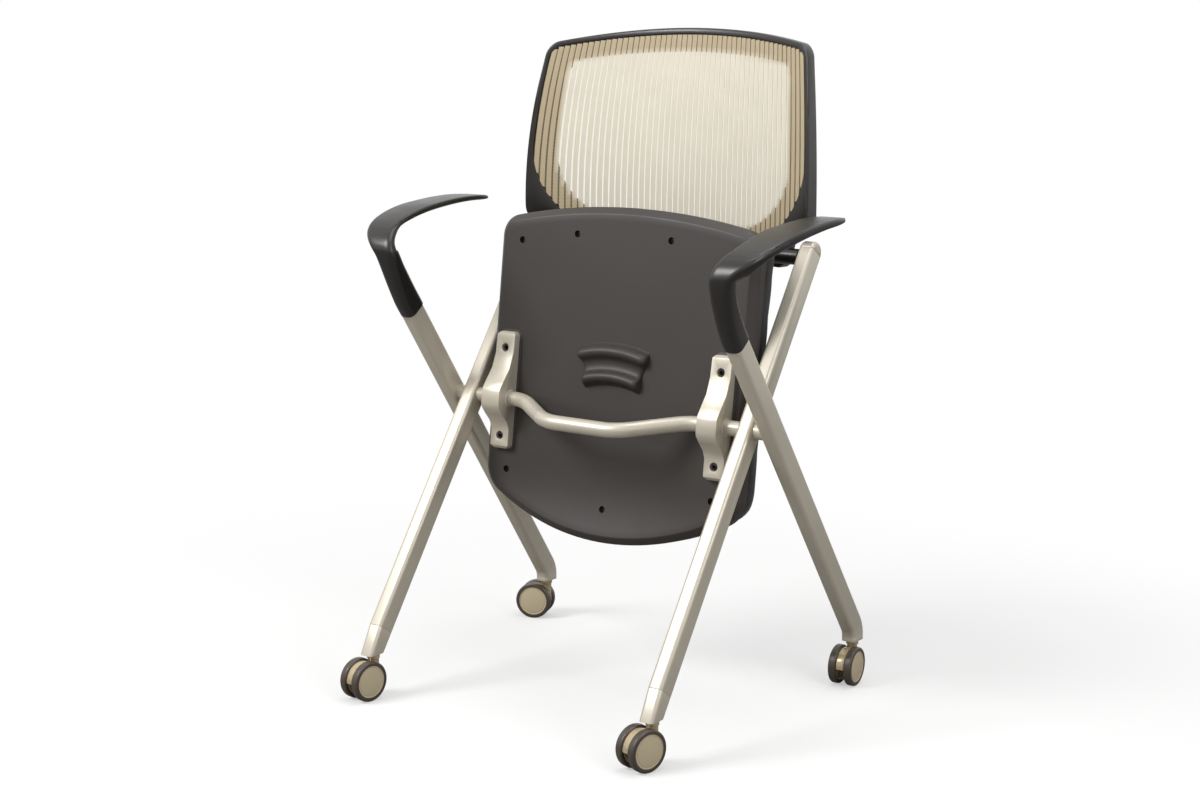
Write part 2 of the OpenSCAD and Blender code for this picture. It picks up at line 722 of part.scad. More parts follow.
function flat_half(half, top, bottom, top_r, bottom_r) = concat(
    [for (k = [0:side_steps]) [(half - top_r) * k / (side_steps + 1), top]],
    [for (k = [0:corner_steps]) arc_point(half - top_r, top - top_r, top_r, 90 * k / corner_steps)],
    [for (k = [1:side_steps]) let (t = k / (side_steps + 1))
        [half, (top - top_r) * (1 - t) + (bottom + bottom_r) * t]],
    [for (k = [0:corner_steps]) let (t = 90 * k / corner_steps)
        [half - bottom_r + bottom_r * cos(t), bottom + bottom_r - bottom_r * sin(t)]],
    [for (k = [1:side_steps + 1]) [(half - bottom_r) * (1 - k / (side_steps + 1)), bottom]]);

// The outer edge turns in above the leg tops and runs down beside the hubs
hub_clear = 23;
hub_face_x = leg_x - tube_w / 2 - hub_clear;
lower_shares = [[1, 1], [0.99, 0.86], [0.93, 0.74], [0.72, 0.66], [0.42, 0.6], [0.12, 0.48], [0, 0.3],
    [-0.02, 0.12], [-0.3, 0]];
knuckle_h = 52;
knuckle_top = pivot_z + knuckle_h;
top_corner_r = 15;
bottom_less = 12;
function outer_half() = let (top_end = back_rise - top_corner_r)
    concat([for (k = [0:side_steps]) [(back_half - top_corner_r) * k / (side_steps + 1), back_rise]],
    [for (k = [0:corner_steps])
        arc_point(back_half - top_corner_r, top_end, top_corner_r, 90 * k / corner_steps)],
    [for (k = [1:side_steps]) let (t = k / (side_steps + 1)) [back_half, top_end * (1 - t) + knuckle_top * t]],
    [for (s = lower_shares)
        [hub_face_x + (back_half - hub_face_x) * s[0], back_bottom + (knuckle_top - back_bottom) * s[1]]],
    [for (k = [1:side_steps + 1]) [(hub_face_x - bottom_less) * (1 - k / (side_steps + 1)), back_bottom]]);

outer_line = whole(outer_half());
mesh_line = whole(flat_half(mesh_half, mesh_top, mesh_bottom, mesh_top_r, mesh_corner_r));
open_line = whole(flat_half(open_half, open_top, open_bottom, open_top_r, open_corner_r));
net_t = 1.2;
net_front = 0.5;
net_fit = 0.5;
net_seat = net_front + net_t + net_fit;
strip_t = 2;
strip_share = 0.18;
strip_edge_share = 0.02;
flange_t = 5;
function between(p, q, share) = p + (q - p) * share;

module back_ring() {
    n = len(outer_line);
    ring_loft([for (k = [0:n - 1])
        let (o = outer_line[k], m = mesh_line[k], i = open_line[k], g = between(m, i, strip_share))
        [on_back(o, 0), on_back(m, 0), on_back(m, net_seat + strip_t), on_back(g, net_seat + strip_t),
        on_back(g, net_seat), on_back(i, net_seat), on_back(i, net_seat + flange_t),
        on_back(g, net_seat + flange_t), on_back(m, rim_depth(m)), on_back(o, rim_depth(o))]]);
}

module back_frame() {
    color("#202022") from_cross() difference() {
        back_ring();
        for (side = [-1, 1]) hub_solid(side, still_fit / 2);
    }
}

module mesh_edge_strip() {
    n = len(mesh_line);
    color("#1c1c1c") from_cross() ring_loft([for (k = [0:n - 1]) let (m = mesh_line[k], i = open_line[k],
        a = between(m, i, strip_edge_share), b = between(m, i, strip_share - strip_edge_share))
        [on_back(a, net_seat), on_back(a, net_seat + strip_t - net_fit),
        on_back(b, net_seat + strip_t - net_fit), on_back(b, net_seat)]]);
}

// Hubs: a lug on the backrest round each pin
hub_sunk = 12;
hub_in = hub_face_x - hub_sunk;
hub_end_gap = 1.5;

module hub_solid(side, grow) {
    translate([0, pivot_y, pivot_z]) mirror([side < 0 ? 1 : 0, 0, 0]) {
        bar_x(hub_in - grow, leg_x - tube_w / 2 - hub_end_gap, hub_d + 2 * grow);
        translate([hub_in - grow, 0, -hub_d / 2 - grow])
            cube([hub_face_x - hub_in - over + 2 * grow, hub_d + grow, hub_d + 2 * grow]);
    }
}

tilt_bush_t = 3;
tilt_bush_d = back_pin_d + 2 * tilt_bush_t;

module back_hub(side) {
    color("#2a2422") from_cross() difference() {
        hub_solid(side, 0);
        translate([0, pivot_y, pivot_z]) bar_x(-leg_x, leg_x, tilt_bush_d);
    }
}

module tilt_bushes() {
    color("#1a1a1a") back_pin_place() for (side = [-1, 1]) mirror([side < 0 ? 1 : 0, 0, 0])
        difference() {
            bar_x(hub_in + tilt_bush_t, leg_x - tube_w / 2 - hub_end_gap - tilt_bush_t, tilt_bush_d);
            bar_x(0, leg_x, back_pin_d + 2 * run_fit);
        }
}

module back_pin_place() {
    from_cross() translate([0, pivot_y, pivot_z]) children();
}

module back_pins() {
    color("silver") back_pin_place() for (side = [-1, 1]) mirror([side < 0 ? 1 : 0, 0, 0])
        bar_x(hub_in + tilt_bush_t, leg_x - tube_w / 2 + tube_wall, back_pin_d);
}

// Mesh: a thin curved sheet with a slot beside every band, in rows between cross threads
bands = floor((2 * open_half - open_top_r) / band_pitch);
slot_rows = 3;
thread_w = 2;
mesh_in = 1;
mesh_side = mesh_half - mesh_in;
hem_share = 0.94;
mesh_lines = concat([-1, -hem_share], [for (k = [0:bands - 1], e = [-1, 1])
    ((k - (bands - 1) / 2) * band_pitch + e * band_gap / 2) / mesh_side], [hem_share, 1]);
row_count = 2 * slot_rows + 2;

// Height of the lower and upper edge of a flat outline at x
function corner_rise(x, half, r) = sqrt(max(0, r * r - pow(max(0, abs(x) - half + r), 2)));
function lower_edge(x, half, bottom, r) = bottom + r - corner_rise(x, half, r);
function upper_edge(x, half, top, r) = top - r + corner_rise(x, half, r);
row_edge_share = 0.02;
function row_z(x, row) = let (
    a = lower_edge(x, mesh_side, mesh_bottom + mesh_in, mesh_corner_r),
    b = upper_edge(x, mesh_side, mesh_top - mesh_in, mesh_top_r),
    ox = min(abs(x), open_half - open_top_r / 2),
    hem = (b - a) * row_edge_share,
    c = max(a + hem, lower_edge(ox, open_half, open_bottom, open_corner_r) + thread_w),
    d = min(b - hem, upper_edge(ox, open_half, open_top, open_top_r) - thread_w),
    step = (d - c + thread_w) / slot_rows)
    row == 0 ? a : row == row_count - 1 ? b
        : c + floor((row - 1) / 2) * step + ((row - 1) % 2) * (step - thread_w);
last_line = len(mesh_lines) - 2;
function is_slot(col, row) = col > 0 && col < last_line && col % 2 == 0 && row % 2 == 1 && row < row_count - 1;

module back_mesh() {
    nx = len(mesh_lines);
    nz = row_count;
    back = nx * nz;
    points = [for (depth = [net_front, net_front + net_t], i = [0:nx - 1], j = [0:nz - 1])
        let (x = mesh_lines[i] * mesh_side) on_back([x, row_z(x, j)], depth)];
    // A cell is solid when it is inside the sheet and isn't a slot
    solid = [for (i = [-1:nx - 1]) [for (j = [-1:nz - 1])
        i >= 0 && j >= 0 && i < nx - 1 && j < nz - 1 && !is_slot(i, j)]];
    faces = [for (i = [0:nx - 2], j = [0:nz - 2]) if (solid[i + 1][j + 1]) let (a = i * nz + j, b = a + nz)
        each [[a, a + 1, b + 1], [a, b + 1, b],
            [back + a, back + b + 1, back + a + 1], [back + a, back + b, back + b + 1]]];
    walls_x = [for (i = [0:nx - 1], j = [0:nz - 2])
        let (left = solid[i][j + 1], right = i < nx - 1 && solid[i + 1][j + 1], a = i * nz + j)
        if (left != right) each left ? [[a, a + 1, back + a + 1], [a, back + a + 1, back + a]]
            : [[a, back + a + 1, a + 1], [a, back + a, back + a + 1]]];
    walls_z = [for (i = [0:nx - 2], j = [0:nz - 1])
        let (below = solid[i + 1][j], above = j < nz - 1 && solid[i + 1][j + 1], a = i * nz + j)
        if (below != above) each below ? [[a, back + a + nz, a + nz], [a, back + a, back + a + nz]]
            : [[a, a + nz, back + a + nz], [a, back + a + nz, back + a]]];
    color("#d8ccb4") from_cross() polyhedron(points, concat(faces, walls_x, walls_z));
}

// Armrests: stations from the sleeve to the tip. Each gives, as shares, the place of the front or top face
// (along, up), its inner and outer edge across, and the thickness at each of those edges. The hook's places
// are shares of the hook, and the blade's are shares of the armrest's length and of its height above the hook.
hook_shares = [
    [1, 0.011, -0.216, 0.207, 1, 1], [0.727, 0.174, -0.216, 0.207, 1, 1], [0.508, 0.347, -0.206, 0.218, 1, 1],
    [0.303, 0.533, -0.187, 0.237, 1, 1], [0.142, 0.706, -0.16, 0.269, 0.935, 0.935],
    [0.029, 0.869, -0.123, 0.333, 0.806, 0.925], [0, 1, -0.086, 0.457, 0.645, 0.86]];
blade_shares = [
    [0.022, 0.207, -0.04, 0.627, 0.435, 0.68], [0.075, 0.393, 0.016, 0.8, 0.295, 0.42],
    [0.158, 0.561, 0.09, 0.919, 0.268, 0.413], [0.278, 0.716, 0.128, 0.98, 0.268, 0.432],
    [0.396, 0.828, 0.144, 1, 0.268, 0.432], [0.53, 0.905, 0.178, 0.995, 0.258, 0.394],
    [0.676, 0.967, 0.198, 0.98, 0.248, 0.352], [0.813, 0.996, 0.203, 0.945, 0.226, 0.31],
    [0.925, 0.99, 0.23, 0.83, 0.206, 0.248], [0.975, 0.965, 0.29, 0.72, 0.155, 0.19]];
sleeve_front_share = 1.84;
sleeve_low_share = 0.258;
arm_front = -sleeve_from * sin(arm_lean) - sleeve_d * sleeve_front_share;
arm_bottom = sleeve_from * cos(arm_lean) - sleeve_d * sleeve_low_share;
arm_x = arm_tube_x - sleeve_from * sin(arm_splay);
arm_faces = concat([for (s = hook_shares) [arm_front + hook_l * s[0], arm_bottom + hook_h * s[1]]],
    [for (s = blade_shares) [arm_front + arm_l * s[0], arm_bottom + hook_h + (arm_h - hook_h) * s[1]]]);
arm_shares = concat(hook_shares, blade_shares);
function unit(v) = v / norm(v);
last_station = len(arm_shares) - 1;
function arm_way(k) = unit(arm_faces[min(last_station, k + 1)] - arm_faces[max(0, k - 1)]);
// Corners of a station: inner front, outer front, outer rear and inner rear, from one depth to another
function arm_corners(k, from_front, to_front) = let (
    s = arm_shares[k], f = arm_faces[k], w = arm_way(k), n = [w[1], -w[0]],
    xi = arm_x + arm_out * s[2], xo = arm_x + arm_out * s[3],
    ti = sleeve_d * s[4], to = sleeve_d * s[5],
    ai = min(from_front, ti / 2), bi = to_front > 0 ? min(to_front, ti / 2) : ti,
    ao = min(from_front, to / 2), bo = to_front > 0 ? min(to_front, to / 2) : to)
    [[xi, f + n * ai], [xo, f + n * ao], [xo, f + n * bo], [xi, f + n * bi]];
function flatten(c) = [c[0], c[1][0], c[1][1]];
corner_reach_share = 0.42;
function toward(p, q, reach) = p + unit(q - p) * min(reach, norm(q - p) * corner_reach_share);
// Rounds the corners of a section: each corner has its own radius
round_shares = [0, 0.33, 0.67, 1];
function soften(c, radii) = [for (k = [0:3])
    let (p = c[k], a = toward(p, c[(k + 3) % 4], radii[k]), b = toward(p, c[(k + 1) % 4], radii[k]))
    each [for (t = round_shares) a * (1 - t) * (1 - t) + p * 2 * t * (1 - t) + b * t * t]];
function corners3(k, from_front, to_front) = [for (c = arm_corners(k, from_front, to_front)) flatten(c)];
soft_r = 8;
sharp_r = 0.6;
// The skin starts one station after the hook and takes this many stations to reach its thickness
skin_first = len(hook_shares) + 1;
skin_steps = 3;
function middle(ring) = [for (i = [0:2]) [for (p = ring) p[i]] * [for (p = ring) 1] / len(ring)];
function skin_at(k) = k < skin_first ? 0 : min(arm_skin, arm_skin * (k - skin_first + 1) / skin_steps);
function arm_ring(k) = let (front = k < skin_first ? soft_r : sharp_r)
    soften(corners3(k, skin_at(k), 0), [front, front, soft_r, soft_r]);
function skin_ring(k) = soften(corners3(k, 0, skin_at(k)), [arm_skin, arm_skin, sharp_r, sharp_r]);

module arm_loft(rings) {
    loft(rings, middle(rings[0]), middle(rings[len(rings) - 1]));
}

module arm(side) {
    color("#1f1f21") difference() {
        from_cross() mirror([side < 0 ? 1 : 0, 0, 0]) arm_loft([for (k = [0:last_station]) arm_ring(k)]);
        along_arm_tube(side) tube(0, arm_above + still_fit, still_fit);
        arm_screw_hole(side);
    }
}

module arm_skin_part(side) {
    color("#27272a") from_cross() mirror([side < 0 ? 1 : 0, 0, 0])
        arm_loft([for (k = [skin_first:last_station]) skin_ring(k)]);
}

// Armrest screws: through the rear of the sleeve into the tube
arm_screw_up = sleeve_from + tube_in_sleeve / 2;
screw_seat = sleeve_d * 0.512 - tube_d / 2;

module arm_screw_place(side) {
    along_arm_tube(side) translate([0, tube_d / 2, arm_screw_up]) rotate([-90, 0, 0]) children();
}

module arm_screw_hole(side) {
    arm_screw_place(side) translate([0, 0, -2 * tube_wall]) cylinder(d = screw_d, h = sleeve_d);
}

module arm_screws() {
    color("#333333") for (side = [-1, 1]) arm_screw_place(side) {
        translate([0, 0, -2 * tube_wall]) cylinder(d = screw_d, h = 2 * tube_wall + screw_seat);
        translate([0, 0, screw_seat]) cylinder(d = screw_head_d, h = screw_head_t / 2);
    }
}

// Casters: the stem is at the origin, the trail runs to -Y and the axle along X
module caster_at(i) {
    c = casters[i];
    stem_place(c) rotate(c[2]) children();
}

hood_half = 5;
wheel_gap = 0.5;
wheel_inner = hood_half + wheel_gap;
hood_less = 2.5;
hood_r = wheel_r - hood_less;
neck_r = 7;
collar_r = 8;
collar_z = wheel_d - still_fit;
hood_open_share = 0.95;
hood_back_share = 0.7;
hood_open_z = wheel_r * hood_open_share;

module hood(i) {
    color("#b5a27c") caster_at(i) difference() {
        union() {
            intersection() {
                union() {
                    translate([0, -trail, wheel_r]) bar_x(-hood_half, hood_half, 2 * hood_r);
                    translate([0, 0, wheel_r]) cylinder(r = neck_r, h = collar_z - wheel_r);
                    translate([-hood_half, -trail, wheel_r])
                        cube([2 * hood_half, trail, wheel_r * hood_back_share]);
                }
                translate([-hood_half, -2 * wheel_d, hood_open_z]) cube([2 * hood_half, 4 * wheel_d, wheel_d]);
            }
            translate([0, -trail, wheel_r]) bar_x(-hood_half, hood_half, 2 * hub_r);
            translate([0, 0, collar_z]) cylinder(r = collar_r, h = leg_end_z - seat_gap - collar_z);
        }
        translate([0, 0, leg_end_z - stem_down - seat_gap])
            cylinder(d = stem_d + 2 * run_fit, h = stem_down + over);
        translate([0, -trail, wheel_r]) bar_x(-wheel_r, wheel_r, axle_d);
    }
}

cover_t = 1.5;
cover_sink = 0.5;
cover_groove = 1;
axle_end = caster_w / 2 - cover_t - cover_sink;

module axle(i) {
    color("silver") caster_at(i) translate([0, -trail, wheel_r]) bar_x(-axle_end, axle_end, axle_d);
}

// A wheel turned about the axle: side is -1 or 1 along the axle
module turned(i, side) {
    caster_at(i) translate([0, -trail, wheel_r]) rotate([0, side * 90, 0]) rotate_extrude() children();
}

rim_r = wheel_r - tread_t;
hub_wall = 3;
hub_r = axle_d / 2 + hub_wall;

module wheel(i, side) {
    color("#cbbd9f") turned(i, side) difference() {
        translate([0, wheel_inner]) square([rim_r, caster_w / 2 - wheel_inner - cover_sink]);
        translate([0, -over]) square([axle_d / 2 + run_fit, caster_w / 2 - cover_t + over]);
        translate([hub_r, 0]) square([rim_r - hub_r - cover_t, caster_w / 2 - 2 * cover_t]);
        translate([rim_r - 2 * cover_t, caster_w / 2 - cover_groove]) square([cover_t, cover_t]);
    }
}

tread_round = 2.5;

module tyre(i, side) {
    color("#2b2b2d") turned(i, side) {
        translate([rim_r, wheel_inner]) square([tread_t - tread_round, caster_w / 2 - wheel_inner]);
        translate([rim_r, wheel_inner + tread_round])
            square([tread_t, caster_w / 2 - wheel_inner - 2 * tread_round]);
        for (a = [wheel_inner + tread_round, caster_w / 2 - tread_round])
            translate([wheel_r - tread_round, a]) circle(tread_round);
    }
}

front_leg(-1);  // front_leg_left
front_leg(1);  // front_leg_right
arm_tube(-1);  // arm_tube_left
arm_tube(1);  // arm_tube_right
seat_crossbar();
seat_stop_pins();
front_feet();
rear_sockets();
tube_caps();
caster_stems();
arm(-1);  // arm_left
arm(1);  // arm_right
arm_skin_part(-1);  // arm_skin_left
arm_skin_part(1);  // arm_skin_right
arm_screws();
back_pins();
seat_pan();
seat_board();
seat_cushion();
bracket(-1);  // seat_bracket_left
bracket(1);  // seat_bracket_right
seat_bushes();
bracket_screws();
pan_screws();
back_frame();
back_mesh();
mesh_edge_strip();
back_hub(-1);  // back_hub_left
back_hub(1);  // back_hub_right
tilt_bushes();
hood(0);  // front_left_hood
axle(0);  // front_left_axle
wheel(0, -1);  // front_left_wheel_1
wheel(0, 1);  // front_left_wheel_2
tyre(0, -1);  // front_left_tyre_1
tyre(0, 1);  // front_left_tyre_2
hood(1);  // front_right_hood
axle(1);  // front_right_axle
wheel(1, -1);  // front_right_wheel_1
wheel(1, 1);  // front_right_wheel_2
tyre(1, -1);  // front_right_tyre_1
tyre(1, 1);  // front_right_tyre_2
hood(2);  // rear_left_hood
axle(2);  // rear_left_axle
wheel(2, -1);  // rear_left_wheel_1
wheel(2, 1);  // rear_left_wheel_2
tyre(2, -1);  // rear_left_tyre_1
tyre(2, 1);  // rear_left_tyre_2
hood(3);  // rear_right_hood
axle(3);  // rear_right_axle
wheel(3, -1);  // rear_right_wheel_1
wheel(3, 1);  // rear_right_wheel_2
tyre(3, -1);  // rear_right_tyre_1
tyre(3, 1);  // rear_right_tyre_2
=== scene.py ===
# %% [markdown]
# # A nesting chair
# The chair stands on four casters, and its seat flips up so that chairs can nest in a row. The imported CAD model
# comes in first, as a frame that nothing here moves. The dressed chair has to stay in it.

# %% The frame
import json
import math

import bmesh
import bpy
from mathutils import Matrix, Vector


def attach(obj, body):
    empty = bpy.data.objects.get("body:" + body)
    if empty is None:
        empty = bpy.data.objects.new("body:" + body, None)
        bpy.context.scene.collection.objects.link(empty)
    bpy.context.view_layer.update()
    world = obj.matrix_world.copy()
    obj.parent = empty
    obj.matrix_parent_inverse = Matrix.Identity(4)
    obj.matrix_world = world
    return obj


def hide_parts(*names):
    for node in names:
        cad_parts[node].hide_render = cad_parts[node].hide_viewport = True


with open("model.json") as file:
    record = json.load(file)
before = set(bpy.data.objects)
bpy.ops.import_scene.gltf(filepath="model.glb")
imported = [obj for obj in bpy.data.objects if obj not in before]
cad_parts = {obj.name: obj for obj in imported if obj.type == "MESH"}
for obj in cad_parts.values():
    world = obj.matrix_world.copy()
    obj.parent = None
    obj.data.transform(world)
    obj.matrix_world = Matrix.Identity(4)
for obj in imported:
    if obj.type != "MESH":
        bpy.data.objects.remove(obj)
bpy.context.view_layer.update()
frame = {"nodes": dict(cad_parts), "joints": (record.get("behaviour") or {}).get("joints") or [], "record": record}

MM = 0.001

# %% [markdown]
# The crossbar's axis is where everything meets: the two pairs of tubes cross there and the seat turns on it. The
# record's joints give that axis and the backrest's pivot, so no place is typed twice. The helpers below work in
# millimetres, as the drawing does, and turn to metres only when a mesh is made.

# %% Places that the pieces share
joint_at = {joint["name"]: Vector(joint["pos_m"]) / MM for joint in frame["joints"]}
CROSS = joint_at["seat_flip"]
PIVOT = joint_at["back_tilt"] - CROSS
SEAT_LEAN = 5.6
body_of_node = {node: body for body, nodes in frame["record"]["behaviour"]["bodies"].items() for node in nodes}
slot_of_node = {part["node"]: part["material_slot"] for part in frame["record"]["subparts"]}
SIDES = {"left": -1, "right": 1}
print("crossbar axis", [round(v, 1) for v in CROSS], "backrest pivot above it", [round(v, 1) for v in PIVOT])


def from_cross(x, y, z):
    """A point given from the middle of the crossbar's axis."""
    return Vector((x, CROSS.y + y, CROSS.z + z))


def in_seat(x, y, z):
    """A point of the seat: y from the axis to the seat's front edge, z away from the cushion."""
    turn = math.radians(90 - SEAT_LEAN)
    return from_cross(x, y * math.cos(turn) - z * math.sin(turn), y * math.sin(turn) + z * math.cos(turn))


def seat_way(x, y, z):
    """A direction of the seat, with the same axes."""
    return in_seat(x, y, z) - in_seat(0, 0, 0)


def in_scene(name, data):
    """A new object in the scene, at the origin."""
    obj = bpy.data.objects.new(name, data)
    bpy.context.collection.objects.link(obj)
    return obj


def mesh_from(shape, name):
    """A mesh with what a bmesh holds. The bmesh is freed."""
    mesh = bpy.data.meshes.new(name)
    shape.to_mesh(mesh)
    shape.free()
    return mesh


# %% [markdown]
# ## Camera
# The photograph was taken from the chair's front and right, a little above the seat. The camera's place is given from
# the crossbar, and its three turns are written out: the way it faces, how far it looks down, and a slight roll.

# %% Camera
YAW, PITCH, ROLL = (math.radians(turn) for turn in (33.70, 9.571, 1.208))
EYE = Vector((1.3025, -1.965003, 0.4115))
lens = bpy.data.cameras.new("camera")
lens.sensor_width = 36
lens.lens = 57.156
camera = in_scene("camera", lens)
ahead = Vector((-math.sin(YAW) * math.cos(PITCH), math.cos(YAW) * math.cos(PITCH), -math.sin(PITCH)))
level = Vector((math.cos(YAW), math.sin(YAW), 0))
upward = level.cross(ahead)
right = level * math.cos(ROLL) + upward * math.sin(ROLL)
upward = upward * math.cos(ROLL) - level * math.sin(ROLL)
turned = Matrix((right, upward, -ahead)).transposed()
camera.matrix_world = Matrix.Translation(CROSS * MM + EYE) @ turned.to_4x4()
bpy.context.scene.camera = camera
print("camera looks along", [round(v, 3) for v in ahead])

# %% [markdown]
# ## Floor, backdrop and light
# The floor is a wide pale disc. The white behind the chair is the world's colour, but only for what the camera sees
# and for reflections: Light Path keeps the light that falls on the chair lower, so that colours stay as written.

# %% Floor and world
scene = bpy.context.scene
scene.view_settings.view_transform = "Standard"
disc = bmesh.new()
bmesh.ops.create_circle(disc, cap_ends=True, segments=96, radius=9)
floor = in_scene("floor", mesh_from(disc, "floor"))
LIT_FROM_WHITE, SEEN_WHITE = 0.42, 1.0


def node_at(tree, kind, values=None, **settings):
    """A new node, with its settings given by name and its unlinked inputs by name or number."""
    node = tree.nodes.new(kind)
    for name, value in settings.items():
        setattr(node, name, value)
    for entry, value in (values or {}).items():
        node.inputs[entry].default_value = value
    return node


def wire(tree, *links):
    """Links nodes. Each link is a node, its output, the next node and that one's input."""
    for source, output, target, entry in links:
        tree.links.new(source.outputs[output], target.inputs[entry])


world = bpy.data.worlds.new("studio")
world.use_nodes = True
scene.world = world
sky = world.node_tree
sky.nodes.clear()
path = node_at(sky, "ShaderNodeLightPath")
seen = node_at(sky, "ShaderNodeMath", operation="MAXIMUM")
seen_through = node_at(sky, "ShaderNodeMath", operation="MAXIMUM")
strength = node_at(sky, "ShaderNodeMapRange", {"To Min": LIT_FROM_WHITE, "To Max": SEEN_WHITE})
white = node_at(sky, "ShaderNodeBackground", {"Color": (1, 1, 1, 1)})
output = node_at(sky, "ShaderNodeOutputWorld")
wire(sky, (path, "Is Camera Ray", seen, 0), (path, "Is Glossy Ray", seen, 1), (seen, 0, seen_through, 0),
     (path, "Is Transmission Ray", seen_through, 1), (seen_through, 0, strength, "Value"),
     (strength, "Result", white, "Strength"), (white, 0, output, "Surface"))


def soft_light(name, place, aim, power, size):
    """A square lamp at a place, in metres, turned to a point."""
    lamp = bpy.data.lights.new(name, "AREA")
    lamp.energy = power
    lamp.size = size
    obj = in_scene(name, lamp)
    obj.rotation_euler = (Vector(aim) - Vector(place)).to_track_quat("-Z", "Y").to_euler()
    obj.location = place


soft_light("key", (-1.5, -2.3, 2.5), (0, 0, 0.45), 88, 1.3)
soft_light("top", (0.4, 0.3, 3.0), (0, 0, 0.4), 30, 2.0)
soft_light("side", (2.6, -0.6, 1.9), (0, 0, 0.4), 22, 1.2)
print("lamps", len(bpy.data.lights))

# %% [markdown]
# ## Shared effects
# Three things show on many of the chair's surfaces: the fine grain that a mould or a spray gun leaves, the slow
# change of gloss where hands and cloths have been, and the weave of cloth. Each is a node group, so that a material
# can use it at its own scale. A group puts out masks and heights only, and the shader stays in the material.

# %% A helper for node groups


def node_group(kind, name, inputs, output):
    """An empty group. Each input has a kind and a value. Returns the tree, its input node and its output node."""
    tree = bpy.data.node_groups.new(name, kind + "NodeTree")
    for label, (socket_kind, value) in inputs.items():
        socket = tree.interface.new_socket(label, in_out="INPUT", socket_type="NodeSocket" + socket_kind)
        if value is not None:
            socket.default_value = value
    tree.interface.new_socket(output[0], in_out="OUTPUT", socket_type="NodeSocket" + output[1])
    return tree, tree.nodes.new("NodeGroupInput"), tree.nodes.new("NodeGroupOutput")


# %% [markdown]
# **Grain.** Two noises, one a few times finer than the other, look less regular than one. Their mean is the height.

# %% Grain
FINER_BY = 3.4
grain, enter, leave = node_group("Shader", "mould_grain", {
    "Vector": ("Vector", None), "Scale": ("Float", 900.0), "Fine share": ("Float", 0.4)}, ("Height", "Float"))
coarse = node_at(grain, "ShaderNodeTexNoise", {"Detail": 2.0, "Roughness": 0.5})
fine = node_at(grain, "ShaderNodeTexNoise", {"Detail": 3.0, "Roughness": 0.6})
finer = node_at(grain, "ShaderNodeMath", {1: FINER_BY}, operation="MULTIPLY")
both = node_at(grain, "ShaderNodeMix", data_type="FLOAT")
wire(grain, (enter, "Vector", coarse, "Vector"), (enter, "Vector", fine, "Vector"), (enter, "Scale", coarse, "Scale"),
     (enter, "Scale", finer, 0), (finer, 0, fine, "Scale"), (enter, "Fine share", both, 0), (coarse, "Fac", both, 2),
     (fine, "Fac", both, 3), (both, 0, leave, "Height"))
print("group", grain.name)

# %% [markdown]
# **Handling.** A wide, soft noise, pushed towards its ends, gives patches that are a little glossier or duller.

# %% Handling
handling, enter, leave = node_group("Shader", "handling", {
    "Vector": ("Vector", None), "Scale": ("Float", 9.0), "Low": ("Float", 0.3), "High": ("Float", 0.7)},
    ("Value", "Float"))
patches = node_at(handling, "ShaderNodeTexNoise", {"Detail": 5.0, "Roughness": 0.62})
ends = {"From Min": 0.36, "From Max": 0.64}
stretch = node_at(handling, "ShaderNodeMapRange", ends, interpolation_type="SMOOTHSTEP")
wire(handling, (enter, "Vector", patches, "Vector"), (enter, "Scale", patches, "Scale"),
     (patches, "Fac", stretch, "Value"), (enter, "Low", stretch, "To Min"), (enter, "High", stretch, "To Max"),
     (stretch, "Result", leave, "Value"))
print("group", handling.name)

# %% [markdown]
# **Weave.** Cloth goes over and under. A sine along each direction makes the yarns, and their product makes the small
# dots where one yarn crosses another. The two pitches are in metres, so a weave is the same size on every piece.

# %% Weave
weave, enter, leave = node_group("Shader", "weave", {
    "Vector": ("Vector", None), "Pitch across": ("Float", 0.0012), "Pitch along": ("Float", 0.0012)},
    ("Height", "Float"))
split = node_at(weave, "ShaderNodeSeparateXYZ")
crossing = node_at(weave, "ShaderNodeMath", operation="MULTIPLY")
lift = node_at(weave, "ShaderNodeMath", {1: 0.5, 2: 0.5}, operation="MULTIPLY_ADD")
for k, (axis, pitch) in enumerate((("X", "Pitch across"), ("Z", "Pitch along"))):
    turns = node_at(weave, "ShaderNodeMath", operation="DIVIDE")
    angle = node_at(weave, "ShaderNodeMath", {1: math.tau}, operation="MULTIPLY")
    wave = node_at(weave, "ShaderNodeMath", operation="SINE")
    wire(weave, (split, axis, turns, 0), (enter, pitch, turns, 1), (turns, 0, angle, 0), (angle, 0, wave, 0),
         (wave, 0, crossing, k))
wire(weave, (enter, "Vector", split, 0), (crossing, 0, lift, 0), (lift, 0, leave, "Height"))
print("group", weave.name)

# %% [markdown]
# ## Finishes
# Every finish is built the same way: a Principled shader whose constants sit on its own sockets, a base colour that
# wanders a little between two shades, a roughness from the handling group, and a bump from the grain or the weave.

# %% A finish
finishes = {}
SHADE_FINER = 1.7


